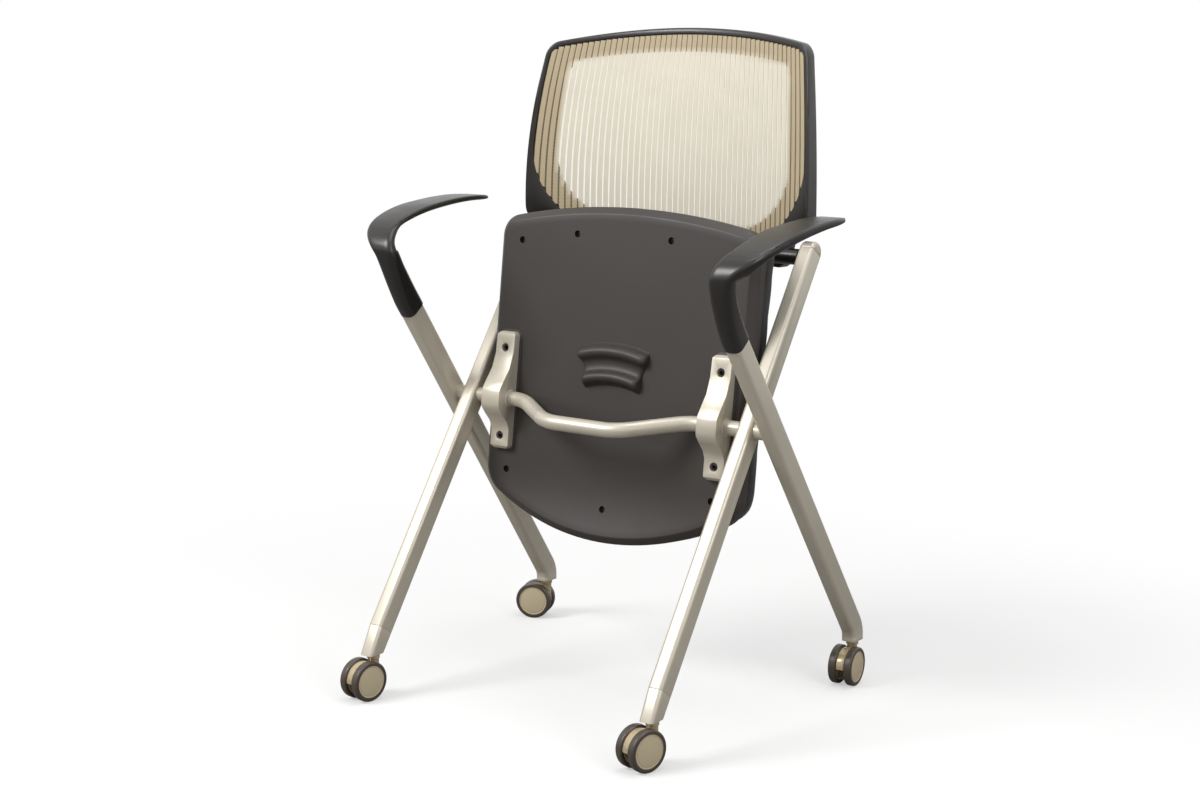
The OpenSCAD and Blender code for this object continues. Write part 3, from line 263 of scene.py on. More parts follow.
def finish(slot, name, light, dark, rough, grain_scale=900, bump=0.15, depth=0.0002, patch_scale=9, cloth=None,
           **constants):
    """The material of a slot. light and dark are its two shades, and rough its lowest and highest roughness."""
    material = bpy.data.materials.new(name)
    material.use_nodes = True
    tree = material.node_tree
    shader = tree.nodes["Principled BSDF"]
    for label, value in constants.items():
        shader.inputs[label.replace("_", " ")].default_value = value
    place = node_at(tree, "ShaderNodeTexCoord")
    gloss = {"Scale": patch_scale, "Low": rough[0], "High": rough[1]}
    wear = node_at(tree, "ShaderNodeGroup", gloss, node_tree=handling)
    shade = node_at(tree, "ShaderNodeTexNoise", {"Scale": patch_scale * SHADE_FINER, "Detail": 4.0})
    colour = node_at(tree, "ShaderNodeMix", {6: (*dark, 1), 7: (*light, 1)}, data_type="RGBA")
    relief = node_at(tree, "ShaderNodeBump", {"Strength": bump, "Distance": depth})
    if cloth:
        pitches = {"Pitch across": cloth[0], "Pitch along": cloth[1]}
        texture = node_at(tree, "ShaderNodeGroup", pitches, node_tree=weave)
    else:
        texture = node_at(tree, "ShaderNodeGroup", {"Scale": grain_scale}, node_tree=grain)
    wire(tree, (place, "Object", wear, "Vector"), (place, "Object", shade, "Vector"),
         (place, "Object", texture, "Vector"), (wear, "Value", shader, "Roughness"), (shade, "Fac", colour, 0),
         (colour, 2, shader, "Base Color"), (texture, "Height", relief, "Height"),
         (relief, "Normal", shader, "Normal"))
    finishes[slot] = material


# %% [markdown]
# The tubes, brackets, feet and crossbar carry one warm silver-grey paint with a little metal in it. It is satin, so it
# gets a middle roughness, some Metallic, and the faint orange peel of sprayed paint.

# %% Frame paint
finish("frame_paint", "champagne_paint", (0.6, 0.553, 0.458), (0.54, 0.497, 0.41), (0.32, 0.42), grain_scale=420,
       bump=0.1, depth=0.0003, Metallic=0.35, Coat_Weight=0.15, Coat_Roughness=0.3)
finish("steel", "turned_steel", (0.6, 0.6, 0.61), (0.5, 0.5, 0.51), (0.22, 0.34), grain_scale=2500, bump=0.1,
       Metallic=1.0)
finish("dark_steel", "blackened_screws", (0.035, 0.035, 0.037), (0.02, 0.02, 0.022), (0.35, 0.5), grain_scale=2500,
       bump=0.1, Metallic=0.6)
print("finishes", len(finishes))

# %% [markdown]
# The armrests and the backrest's frame are nearly black with a fine mould grain. The seat's shell is a warm dark grey,
# and the casters' hoods and covers are beige. The treads are dark brownish rubber with some gloss. The nylon bushes and
# the plywood board inside the seat hardly show.

# %% Plastics, rubber and wood
finish("black_plastic", "black_moulding", (0.0125, 0.0105, 0.0088), (0.0088, 0.0074, 0.0062), (0.3, 0.4),
       grain_scale=1500, bump=0.18, depth=0.00012)
finish("pan_plastic", "charcoal_shell", (0.034, 0.0278, 0.0248), (0.0275, 0.0224, 0.02), (0.46, 0.56),
       grain_scale=1400, bump=0.25, depth=0.00012, patch_scale=5)
finish("nylon", "white_nylon", (0.75, 0.74, 0.7), (0.68, 0.67, 0.63), (0.4, 0.5))
finish("hood_finish", "caster_hood", (0.56, 0.45, 0.28), (0.46, 0.36, 0.21), (0.2, 0.3), grain_scale=1200, bump=0.08,
       Metallic=0.25, Coat_Weight=0.3)
finish("wheel_cover", "caster_cover", (0.6, 0.51, 0.345), (0.52, 0.44, 0.295), (0.32, 0.42), grain_scale=1200,
       bump=0.1)
finish("rubber", "black_rubber", (0.022, 0.022, 0.023), (0.015, 0.015, 0.016), (0.5, 0.62), grain_scale=1800, bump=0.3)
finish("tread", "tread_rubber", (0.075, 0.058, 0.045), (0.05, 0.038, 0.029), (0.3, 0.42), grain_scale=1300, bump=0.2)
finish("plywood", "plywood", (0.56, 0.4, 0.24), (0.42, 0.28, 0.15), (0.55, 0.7), grain_scale=300, bump=0.2)
print("finishes", len(finishes))

# %% [markdown]
# Two cloths: the seat's cover is a tight black weave with a soft sheen, and the backrest's mesh is cream polyester
# whose cross yarns show as fine ribs along every band. Where the mesh lies on the black frame no light comes through
# it, so shade is painted there: an attribute of its points, over_rim, darkens the mesh's colour.

# %% Cloths
finish("seat_fabric", "seat_cloth", (0.017, 0.017, 0.019), (0.011, 0.011, 0.012), (0.82, 0.92), bump=0.6, depth=0.0004,
       patch_scale=14, cloth=(0.0016, 0.0016), Sheen_Weight=0.25, Sheen_Roughness=0.5)
finish("mesh_fabric", "cream_mesh", (0.82, 0.765, 0.63), (0.74, 0.685, 0.555), (0.6, 0.75), bump=0.5, depth=0.0003,
       patch_scale=20, cloth=(0.0011, 0.00175), Sheen_Weight=0.15)
OVER_RIM_PAINTED_SHADE = (0.66, 0.58, 0.46, 1)
net_tree = finishes["mesh_fabric"].node_tree
net_shader = net_tree.nodes["Principled BSDF"]
woven = net_shader.inputs["Base Color"].links[0].from_node
# Painted shade: where over_rim is 1, the mesh's colour is multiplied by a darker tone for the black frame behind it.
rim_mask = node_at(net_tree, "ShaderNodeAttribute", attribute_name="over_rim")
painted_frame_shade = node_at(net_tree, "ShaderNodeMix", {7: OVER_RIM_PAINTED_SHADE}, data_type="RGBA", blend_type="MULTIPLY")
wire(net_tree, (rim_mask, "Fac", painted_frame_shade, 0), (woven, 2, painted_frame_shade, 6), (painted_frame_shade, 2, net_shader, "Base Color"))
print("finishes", len(finishes))

# %% [markdown]
# ## Helpers for meshes
# A piece starts as rings of points. Skinning one ring to the next makes the surface, and a fan closes each end. The
# normals are worked out afterwards, so the order of the points doesn't matter.

# %% From points to a piece
SAME_POINT = 1e-6
NEVER_SHARP = 180


def make_piece(name, points, faces, sharp):
    """A closed mesh from points in millimetres, smooth except at edges sharper than the angle."""
    shape = bmesh.new()
    corners = [shape.verts.new(Vector(point) * MM) for point in points]
    for face in faces:
        shape.faces.new([corners[k] for k in face])
    bmesh.ops.remove_doubles(shape, verts=shape.verts, dist=SAME_POINT)
    bmesh.ops.recalc_face_normals(shape, faces=shape.faces)
    return show(name, mesh_from(shape, name), sharp)


def shade_smooth(mesh, sharp):
    """Smooth shading, with sharp edges over an angle."""
    mesh.polygons.foreach_set("use_smooth", [True] * len(mesh.polygons))
    mesh.set_sharp_from_angle(angle=math.radians(sharp))


def show(name, mesh, sharp):
    """An object at the origin for a finished mesh."""
    shade_smooth(mesh, sharp)
    return in_scene(name, mesh)


def skin(rings, loop=False):
    """Points and faces over rings. loop joins the last ring to the first, and without it fans close the ends."""
    count = len(rings[0])
    points = [point for ring in rings for point in ring]
    faces = []
    for i in range(len(rings) if loop else len(rings) - 1):
        here, there = i * count, (i + 1) % len(rings) * count
        faces += [(here + j, here + k, there + k, there + j) for j, k in zip(range(count), [*range(1, count), 0])]
    if not loop:
        for ring, start in ((rings[0], 0), (rings[-1], (len(rings) - 1) * count)):
            points.append(sum((Vector(point) for point in ring), Vector()) / count)
            faces += [(start + j, start + (j + 1) % count, len(points) - 1) for j in range(count)]
    return points, faces


def along_table(table, place):
    """A row between the rows of a table, on a smooth curve through them."""
    k = min(int(place), len(table) - 2)
    f = place - k
    rows = [table[max(k - 1, 0)], table[k], table[k + 1], table[min(k + 2, len(table) - 1)]]
    return [0.5 * (2 * b + (c - a) * f + (2 * a - 5 * b + 4 * c - d) * f * f + (3 * b - a - 3 * c + d) * f ** 3)
            for a, b, c, d in zip(*rows)]


def baked(obj):
    """The mesh that an object's modifiers make."""
    graph = bpy.context.evaluated_depsgraph_get()
    return bpy.data.meshes.new_from_object(obj.evaluated_get(graph), depsgraph=graph)


def apply_all(obj, sharp):
    """Applies an object's modifiers and keeps the result as its plain mesh."""
    mesh = baked(obj)
    obj.modifiers.clear()
    obj.data = mesh
    shade_smooth(mesh, sharp)
    return obj


def dress(obj, node, others=(), body=None, material=None):
    """Gives a finished piece its body and its material, and hides the nodes that it stands for."""
    slot = material or slot_of_node[node]
    obj.data.materials.clear()
    obj.data.materials.append(finishes[slot])
    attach(obj, body or body_of_node[node])
    if node:
        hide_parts(node, *others)
    return obj


# %% [markdown]
# ## Tubes, castings and wheels
# Most of the frame is already exact: drawn tubes, turned pins and wheels. These keep the CAD shape, and what they lack
# is the small round on every edge that catches light. A copy of each node is merged, its flat triangles are joined
# into plain faces, and a narrow bevel goes on the sharp edges. The copy stands for the node.

# %% Rounded copies of the exact parts
EDGE_ROUNDS = {"front_leg": 0.35, "arm_tube": 0.35, "seat_crossbar": 0.3, "front_feet": 0.8, "rear_sockets": 0.5,
               "tube_caps": 1.2, "seat_bracket": 1.6, "back_hub": 2.0, "hood": 0.9, "wheel_": 0.45, "back_pins": 0.3,
               "seat_bushes": 0.2, "tilt_bushes": 0.3, "axle": 0.3}
FLAT_UNDER, ROUND_OVER = 0.6, 32


def merged_copy(node):
    """A bmesh of a CAD node, its loose triangles joined at their corners."""
    shape = bmesh.new()
    shape.from_mesh(frame["nodes"][node].data)
    bmesh.ops.remove_doubles(shape, verts=shape.verts, dist=SAME_POINT)
    return shape


def rounded_copy(node, width):
    """A copy of a CAD node with narrow rounds on its sharp edges."""
    shape = merged_copy(node)
    bmesh.ops.dissolve_limit(shape, angle_limit=math.radians(FLAT_UNDER), verts=shape.verts, edges=shape.edges)
    obj = show(node + "_smooth", mesh_from(shape, node + "_smooth"), ROUND_OVER)
    bevel = obj.modifiers.new("round", "BEVEL")
    bevel.width = width * MM
    bevel.segments = 3
    bevel.limit_method = "ANGLE"
    bevel.angle_limit = math.radians(ROUND_OVER)
    bevel.harden_normals = False
    return apply_all(obj, ROUND_OVER)


for node in sorted(frame["nodes"]):
    widths = [width for word, width in EDGE_ROUNDS.items() if word in node]
    if widths:
        dress(rounded_copy(node, widths[0]), node)

# %% [markdown]
# What is left over as a plain node only needs its finish: stems, stop pins, the board inside the seat and the treads.

# %% Finishes for the nodes that stay
for node, obj in frame["nodes"].items():
    obj.data.materials.clear()
    obj.data.materials.append(finishes[slot_of_node[node]])
    if "tyre" in node:
        obj.data.polygons.foreach_set("use_smooth", [True] * len(obj.data.polygons))
print("plain nodes", len(frame["nodes"]))

# %% [markdown]
# ## Armrests
# An armrest is one moulding: a sleeve on the tube, a hook that turns back, and a flat blade. The table gives stations
# along it, as shares of its length and height: the place of its front or top face, its inner and outer edge, and its
# thickness at each edge. A smooth curve through the stations gives sections, each a four-cornered shape with soft
# corners. A skin of its own lies on the hook and the blade, with a fine seam under it.

# %% Stations of an armrest
ARM_LENGTH, ARM_HEIGHT, HOOK_LENGTH, HOOK_HEIGHT, ARM_OUT, SLEEVE_DEPTH = 241, 150, 43, 92, 55.5, 31
LEG_X, TUBE_W, TUBES_APART = 207.3, 20, 33.2
ARM_LEAN, ARM_SPLAY, SLEEVE_FROM, SLEEVE_AHEAD, SLEEVE_BELOW = math.radians(38), math.radians(0.8), 144, 1.84, 0.258
HOOK_SHARES = [
    (1, 0.011, -0.216, 0.207, 1, 1), (0.727, 0.174, -0.216, 0.207, 1, 1), (0.508, 0.347, -0.216, 0.218, 0.94, 0.94),
    (0.303, 0.533, -0.216, 0.237, 0.85, 0.86), (0.142, 0.706, -0.214, 0.269, 0.75, 0.77),
    (0.029, 0.869, -0.205, 0.333, 0.66, 0.72), (0, 1, -0.175, 0.457, 0.57, 0.66)]
BLADE_SHARES = [
    (0.022, 0.207, -0.115, 0.627, 0.46, 0.58), (0.075, 0.393, -0.02, 0.8, 0.35, 0.47),
    (0.158, 0.561, 0.09, 0.919, 0.268, 0.413), (0.278, 0.716, 0.128, 0.98, 0.268, 0.432),
    (0.396, 0.828, 0.144, 1, 0.268, 0.432), (0.53, 0.905, 0.178, 0.995, 0.258, 0.394),
    (0.676, 0.967, 0.198, 0.98, 0.248, 0.352), (0.813, 0.996, 0.203, 0.945, 0.226, 0.31),
    (0.925, 0.99, 0.23, 0.83, 0.206, 0.248), (0.975, 0.965, 0.29, 0.72, 0.155, 0.19)]
ARM_TABLE = [(HOOK_LENGTH * s[0], HOOK_HEIGHT * s[1], *s[2:]) for s in HOOK_SHARES]
ARM_TABLE += [(ARM_LENGTH * s[0], HOOK_HEIGHT + (ARM_HEIGHT - HOOK_HEIGHT) * s[1], *s[2:]) for s in BLADE_SHARES]
LAST = len(ARM_TABLE) - 1
ARM_X = LEG_X + TUBES_APART - SLEEVE_FROM * math.sin(ARM_SPLAY)
arm_start = Vector((-SLEEVE_FROM * math.sin(ARM_LEAN) - SLEEVE_DEPTH * SLEEVE_AHEAD,
                    SLEEVE_FROM * math.cos(ARM_LEAN) - SLEEVE_DEPTH * SLEEVE_BELOW))


def arm_row(place):
    """A station as millimetres: face point, inner and outer edge, inner and outer thickness."""
    along, up, inner, outer, thin, thick = along_table(ARM_TABLE, place)
    face = arm_start + Vector((along, up))
    return face, ARM_X + ARM_OUT * inner, ARM_X + ARM_OUT * outer, SLEEVE_DEPTH * thin, SLEEVE_DEPTH * thick


print("stations", len(ARM_TABLE))

# %% [markdown]
# A section is first rounded as a whole, in the two directions across the armrest, and then cut between two depths
# under its face. Skin and body are cut from the same section, so that their sides line up.

# %% Sections of an armrest
SIDE_SHARE, LOOK_AHEAD = 0.46, 0.05


def soft_section(corners, radii, steps=7):
    """A four-cornered ring whose corners are rounded, each with its own radius."""
    ring = []
    for k, corner in enumerate(corners):
        before, after = corners[k - 1] - corner, corners[(k + 1) % 4] - corner
        a = corner + before.normalized() * min(radii[k], before.length * SIDE_SHARE)
        b = corner + after.normalized() * min(radii[k], after.length * SIDE_SHARE)
        for j in range(steps):
            t = j / (steps - 1)
            ring.append(a * (1 - t) ** 2 + corner * 2 * t * (1 - t) + b * t * t)
    return ring


def arm_section(place, start, stop, radii, shrink=0):
    """The rounded ring at a station, cut to lie between two depths under its face. stop None means no cut."""
    face, inner, outer, thin, thick = arm_row(place)
    way = (arm_row(min(place + LOOK_AHEAD, LAST))[0] - arm_row(max(place - LOOK_AHEAD, 0))[0]).normalized()
    down = Vector((way.y, -way.x))
    corners = [Vector(corner) for corner in ((inner, 0), (outer, 0), (outer, thick), (inner, thin))]
    far = max(thin, thick) if stop is None else stop
    section = soft_section(corners, radii)
    reach = [x for x, depth in section if depth <= far]
    points = []
    for x, depth in section:
        x = x if depth <= far else min(max(x, min(reach)), max(reach))
        points.append(from_cross(x, *(face + down * min(max(depth, start), far))))
    middle = sum(points, Vector()) / len(points)
    if shrink:
        points = [middle + (p - middle) * (1 - shrink / max((p - middle).length, shrink)) for p in points]
    return points


# %% [markdown]
# At the sleeve's mouth and at the blade's tip the sections shrink over the last two millimetres, which rounds the
# ends. The skin starts at nothing on the hook and grows to its full depth along it. The body begins a seam below it.

# %% The armrests
SKIN_FROM, SKIN_FULL_AFTER, SKIN_DEPTH, SEAM, END_ROUND = 7.9, 2.2, 3.0, 0.25, 2.2
HOOK_ROUND, TOP_ROUND, REAR_ROUND = 10, 3, 9


def skin_depth(place):
    """Depth of the skin, which starts at nothing on the hook."""
    return SKIN_DEPTH * min(1, max(0, (place - SKIN_FROM) / SKIN_FULL_AFTER))


def arm_rounds(place):
    """Radii of a section's corners: soft at the hook, and tighter along the edges of the blade's top."""
    front = HOOK_ROUND - (HOOK_ROUND - TOP_ROUND) * min(1, max(0, (place - SKIN_FROM + 1) / 3))
    return front, front, REAR_ROUND, REAR_ROUND


def end_places(first, count, end_in, end_steps=5):
    """Places along the table from the first to the last, closer at both ends, and how far each end ring shrinks."""
    turns = [k / end_steps * math.pi / 2 for k in range(end_steps + 1)]
    places = [(first + end_in * (1 - math.cos(turn)), END_ROUND * (1 - math.sin(turn))) for turn in turns[:-1]]
    places += [(first + end_in + (LAST - first - 2 * end_in) * k / count, 0) for k in range(count + 1)]
    return places + [(LAST - end_in * (1 - math.sin(turn)), END_ROUND * (1 - math.cos(turn))) for turn in turns[1:]]


body_rings, skin_rings = [], []
for place, shrink in end_places(0, 96, 0.12):
    start = skin_depth(place) + SEAM * min(1, skin_depth(place))
    body_rings.append(arm_section(place, start, None, arm_rounds(place), shrink))
for place, shrink in end_places(SKIN_FROM + 0.02, 80, 0.1):
    depth = skin_depth(place)
    skin_rings.append(arm_section(place, 0, depth, arm_rounds(place), min(shrink, depth * 0.45)))
for side, sign in SIDES.items():
    mirror = Matrix.Diagonal((sign, 1, 1))
    body, top = (make_piece(name + side, *skin([[mirror @ p for p in ring] for ring in rings]), sharp=50)
                 for name, rings in (("armrest_", body_rings), ("armrest_skin_", skin_rings)))
    dress(body, "arm_" + side)
    dress(top, "arm_skin_" + side)
    print(body.name, len(body.data.polygons), top.name, len(top.data.polygons))

# %% [markdown]
# ## The seat's shell
# The outline is two long arcs, front and rear, two straight sides, and a rounded corner at each meeting. The
# shell is skinned over copies of it: the rim, the foot and the top of a wide bevel, and then rings towards the middle.
# Its rear edge curls away from the plane of the shell, more and more towards the end.

# %% Outline of the shell
SEAT_W, SEAT_FRONT, SEAT_REAR, FRONT_R, REAR_R, FRONT_CORNER, REAR_CORNER = 386, 256, 168, 830, 356, 28, 40
PAN_GAP, PAN_H, PAN_BEVEL, FLARE, FLARE_FROM = 12.5, 24, 9, 13, 92
SEAT_MID = (SEAT_FRONT - SEAT_REAR) / 2
FACE, REAR_OF_PAN = -PAN_GAP, -PAN_GAP - PAN_H


def arc(x, y, radius, start, stop, steps):
    """Points on an arc round a centre, with both its ends. A turn of zero points along y."""
    turns = [start + (stop - start) * k / steps for k in range(steps + 1)]
    return [(x + radius * math.sin(turn), y + radius * math.cos(turn)) for turn in turns]


def between(p, q, count):
    """Points spaced evenly on the way from p to q, without either."""
    return [tuple(a + (b - a) * k / (count + 1) for a, b in zip(p, q)) for k in range(1, count + 1)]


def both_halves(line):
    """A closed outline from its right half, which starts and ends in the middle."""
    return line + [(-x, y) for x, y in line[-2:0:-1]]


def seat_outline(inward, steps=14):
    """Points round the seat, moved in by a distance."""
    half = SEAT_W / 2
    a = math.asin((half - FRONT_CORNER) / (FRONT_R - FRONT_CORNER))
    b = math.asin((half - REAR_CORNER) / (REAR_R - REAR_CORNER))
    front_y, rear_y = SEAT_FRONT - FRONT_R, REAR_R - SEAT_REAR
    fx, fy = half - FRONT_CORNER, front_y + (FRONT_R - FRONT_CORNER) * math.cos(a)
    rx, ry = half - REAR_CORNER, rear_y - (REAR_R - REAR_CORNER) * math.cos(b)
    line = arc(0, front_y, FRONT_R - inward, 0, a, steps + 1)[:-1]
    line += arc(fx, fy, FRONT_CORNER - inward, a, math.pi / 2, steps)
    line += between((half - inward, fy), (half - inward, ry), steps)
    line += arc(rx, ry, REAR_CORNER - inward, math.pi / 2, math.pi - b, steps)
    return both_halves(line + arc(0, rear_y, REAR_R - inward, math.pi - b, math.pi, steps + 1)[1:])


def curl(y):
    """How far the shell's rear edge stands out at a place."""
    return FLARE * (max(0, -y - FLARE_FROM) / (SEAT_REAR - FLARE_FROM)) ** 2


def pan_ring(inward, z, curls=1, share=1.0):
    """A ring of the shell: the outline moved in, at a height, with its share of the curl and of the full size."""
    line = [(x * share, SEAT_MID + (y - SEAT_MID) * share) for x, y in seat_outline(inward)]
    return [in_seat(x, y, z + curls * curl(y)) for x, y in line]


print("outline points", len(seat_outline(0)))

# %% [markdown]
# The bevel meets the face in a small round, which is the line of light that runs round the real shell. The screw
# wells are cut with a Boolean: a well has to be a real hole, because its dark mouth is what the eye reads.

# %% The shell with its screw wells
PAN_SCREWS = [(x * SEAT_W / 2, y * (SEAT_FRONT if y > 0 else SEAT_REAR)) for x, y in (
    (-0.806, 0.804), (0.806, 0.804), (-0.363, 0.854), (0.363, 0.854), (-0.806, -0.56), (0.806, -0.56), (0, -0.749))]
WELL_D, WELL_DEPTH, CUTTER = 9, 5.5, 12
ROUND, TO_MIDDLE = 1.2, 12
rings = [pan_ring(1.0, REAR_OF_PAN, 0), pan_ring(0, REAR_OF_PAN + 1.0, 0.05)]
rings += [pan_ring(0, REAR_OF_PAN + (FACE - PAN_BEVEL - REAR_OF_PAN) * k / 4, k / 4) for k in range(1, 4)]
rings += [pan_ring(0, FACE - PAN_BEVEL - ROUND), pan_ring(0.25, FACE - PAN_BEVEL - 0.2),
          pan_ring(ROUND, FACE - PAN_BEVEL + ROUND)]
rings += [pan_ring(PAN_BEVEL - ROUND, FACE - ROUND), pan_ring(PAN_BEVEL - 0.2, FACE - 0.3),
          pan_ring(PAN_BEVEL + ROUND, FACE), pan_ring(2 * PAN_BEVEL, FACE)]
rings += [pan_ring(2 * PAN_BEVEL, FACE, 1, 1 - k / TO_MIDDLE) for k in range(1, TO_MIDDLE)]
shell = make_piece("seat_shell", *skin(rings), sharp=40)
seat_out = seat_way(0, 0, 1)
turn = seat_out.to_track_quat("Z", "Y").to_matrix().to_4x4()
cutters = bmesh.new()
for x, y in PAN_SCREWS:
    middle = in_seat(x, y, FACE + curl(y) - WELL_DEPTH + CUTTER / 2)
    bmesh.ops.create_cone(cutters, cap_ends=True, segments=28, radius1=WELL_D / 2 * MM, radius2=WELL_D / 2 * MM,
                          depth=CUTTER * MM, matrix=Matrix.Translation(middle * MM) @ turn)
wells = show("wells", mesh_from(cutters, "wells"), 35)
cut = shell.modifiers.new("wells", "BOOLEAN")
cut.object = wells
cut.operation = "DIFFERENCE"
apply_all(shell, 40)
bpy.data.objects.remove(wells)
dress(shell, "seat_pan")
print("shell faces", len(shell.data.polygons))

# %% [markdown]
# ## Grip and pads on the shell
# The grip is two arched ridges with a channel between them, so that fingers can pull the seat down. Its surface is a
# grid: one direction follows the arch, and the other goes over the lower ridge, through the channel and over the
# upper ridge. The ends dip below the shell's face, so the moulding seems to grow out of it.

# %% The grip
GRIP_R, GRIP_UPPER, GRIP_LOWER, RIDGE_R, GRIP_HALF, GRIP_WAIST, GRIP_HOLLOW = 168, 74, 43, 7, 51.5, 41.5, 60
GRIP_DIP, END_SQUARENESS, FINER_ROWS = 2.5, 26, 3
GRIP_PROFILE = [
    (-14, -2.5), (-12.5, -0.6), (-11, 0.8), (-9.3, 3.2), (-7.6, 6.6), (-5.4, 10.4), (-2.6, 12.6), (0.2, 13.0),
    (2.8, 12.2), (5.2, 9.8), (7.6, 6.8), (10.2, 4.9), (13.6, 4.1), (17.2, 4.1), (20.6, 4.9), (23.2, 6.8),
    (25.6, 9.8), (28.2, 12.2), (31, 13.0), (33.8, 12.6), (36.6, 10.4), (38.8, 6.6), (40.4, 3.2), (42, 0.8),
    (43.6, -0.6), (45, -2.5)]


def grip_reach(y):
    """Half the grip's length at a height on the shell: its ends are hollow arcs."""
    middle = GRIP_LOWER - RIDGE_R / 2
    return min(GRIP_HALF, GRIP_WAIST + GRIP_HOLLOW - math.sqrt(max(0, GRIP_HOLLOW ** 2 - (y - middle) ** 2)))


def grip_point(share, row):
    """A point of the grip: share from -1 to 1 along the arch, row a place in the profile."""
    step, out = along_table(GRIP_PROFILE, row)
    y = GRIP_LOWER + step
    radius = GRIP_R + y - GRIP_UPPER
    x = share * grip_reach(y)
    fall = (1 - abs(share) ** END_SQUARENESS) ** (1 / 3)
    return in_seat(x, GRIP_UPPER - GRIP_R + math.sqrt(radius ** 2 - x ** 2), FACE - GRIP_DIP + (out + GRIP_DIP) * fall)


GRIP_ENDS = [0.95, 0.975, 0.99, 0.997, 1]
shares = [-share for share in reversed(GRIP_ENDS)] + [k / 24 for k in range(-22, 23)] + GRIP_ENDS
rows = [k / FINER_ROWS for k in range(FINER_ROWS * (len(GRIP_PROFILE) - 1) + 1)]
points = [grip_point(share, row) for row in rows for share in shares]
count, last_row = len(shares), (len(rows) - 1) * len(shares)
faces = [(start + j, start + j + 1, start + count + j + 1, start + count + j)
         for start in range(0, last_row, count) for j in range(count - 1)]
rim = [*range(last_row, 0, -count), *range(count - 1), *range(count - 1, last_row, count),
       *range(last_row + count - 1, last_row, -1)]
points.append(in_seat(0, (GRIP_UPPER + GRIP_LOWER) / 2, FACE - 4))
faces += [(rim[k - 1], rim[k], len(points) - 1) for k in range(len(rim))]
grip = make_piece("finger_grip", points, faces, sharp=60)
dress(grip, None, body="seat", material="pan_plastic")
print("grip faces", len(grip.data.polygons))

# %% [markdown]
# A low pad of the shell's own plastic lies under each bracket and stands out a little all round it.

# %% Pads under the brackets
BRACKET_X, BRACKET_W, BRACKET_FRONT, BRACKET_REAR, PAD_OVER, PAD_T, PAD_R = LEG_X - 45.3, 28, 86, 67, 3, 1, 9


def rounded_rectangle(x, y, width, length, radius, steps=6):
    """Points round a rectangle with round corners."""
    line = []
    for k, (sx, sy) in enumerate(((1, 1), (-1, 1), (-1, -1), (1, -1))):
        for j in range(steps + 1):
            turn = math.pi / 2 * (k + j / steps)
            line.append((x + sx * (width / 2 - radius) + radius * math.cos(turn),
                         y + sy * (length / 2 - radius) + radius * math.sin(turn)))
    return line


for side, sign in SIDES.items():
    rings = []
    for grow, z in ((0, FACE - 2), (0, FACE + PAD_T - 0.5), (-0.2, FACE + PAD_T - 0.15), (-0.6, FACE + PAD_T)):
        over = 2 * (PAD_OVER + grow)
        line = rounded_rectangle(sign * BRACKET_X, (BRACKET_FRONT - BRACKET_REAR) / 2, BRACKET_W + over,
                                 BRACKET_FRONT + BRACKET_REAR + over, PAD_R + grow)
        rings.append([in_seat(x, y, z) for x, y in line])
    pad = make_piece("bracket_pad_" + side, *skin(rings), sharp=50)
    dress(pad, None, body="seat", material="pan_plastic")
print("pads", len(SIDES))

# %% [markdown]
# ## Cushion
# Real foam is cut a little large and its cover pulls it tight, so its faces crown and its edges stay soft. A cloth
# simulation gives that: the CAD solid is remeshed into even squares, shrunk a little, and blown up by pressure. How
# far a point may move is capped, and no point may pass the board that the cushion is glued to.

# %% The cushion's foam
CUSHION_NODE = "seat_cushion"
FOAM_SQUARE, FOAM_SHRINK = 5.5 * MM, 2.5 * MM
cushion = show("cushion", mesh_from(merged_copy(CUSHION_NODE), "cushion"), NEVER_SHARP)
remesh = cushion.modifiers.new("even squares", "REMESH")
remesh.mode = "VOXEL"
remesh.voxel_size = FOAM_SQUARE
smaller = cushion.modifiers.new("smaller", "DISPLACE")
smaller.strength = -FOAM_SHRINK
smaller.mid_level = 0
apply_all(cushion, NEVER_SHARP)
print("foam faces", len(cushion.data.polygons))

# %% Blow it up, with a cap on the movement
SIDE_CAP, CROWN_CAP, SETTLED_AFTER = 3.2 * MM, 9 * MM, 20
way_across, way_along, way_out = Vector((1, 0, 0)), seat_way(0, 1, 0), seat_way(0, 0, -1)
start = [v.co.copy() for v in cushion.data.vertices]
cloth = cushion.modifiers.new("pressure", "CLOTH")
cloth.settings.quality = 6
cloth.settings.mass = 0.3
cloth.settings.use_pressure = True
cloth.settings.uniform_pressure_force = 4
cloth.settings.effector_weights.gravity = 0
cloth.settings.tension_stiffness = 25
cloth.settings.bending_stiffness = 1.5
for number in range(1, SETTLED_AFTER + 1):
    scene.frame_set(number)
apply_all(cushion, NEVER_SHARP)
scene.frame_set(1)
board_level = (in_seat(0, 0, REAR_OF_PAN - 0.3) * MM).dot(way_out)
moved = 0
for vertex, before in zip(cushion.data.vertices, start):
    step = vertex.co - before
    out, across, along = step.dot(way_out), step.x, step.dot(way_along)
    flat = math.hypot(across, along)
    scale = min(1, SIDE_CAP / flat) if flat else 1
    out = max(-CROWN_CAP, min(CROWN_CAP, out))
    place = before + (way_across * across + way_along * along) * scale + way_out * out
    vertex.co = place + way_out * max(0, board_level - place.dot(way_out))
    moved = max(moved, (vertex.co - before).length)
smooth = cushion.modifiers.new("even out", "SMOOTH")
smooth.factor = 0.5
smooth.iterations = 4
finer = cushion.modifiers.new("finer", "SUBSURF")
finer.levels = finer.render_levels = 1
apply_all(cushion, NEVER_SHARP)
dress(cushion, CUSHION_NODE)
print("cushion moved", round(moved / MM, 1), "mm, faces", len(cushion.data.polygons))

# %% [markdown]
# ## Backrest frame
# The frame is a ring. Three outlines are drawn flat: its outer edge, the line where the mesh border ends, and the
# opening. Each is then leaned in at its sides, arched at its top and laid on the hollow of the back, so that one rule
# bends all three alike. The ring's section runs from the outer edge over a narrow rim, down to a flange on which the
# mesh lies, and back round the rear.

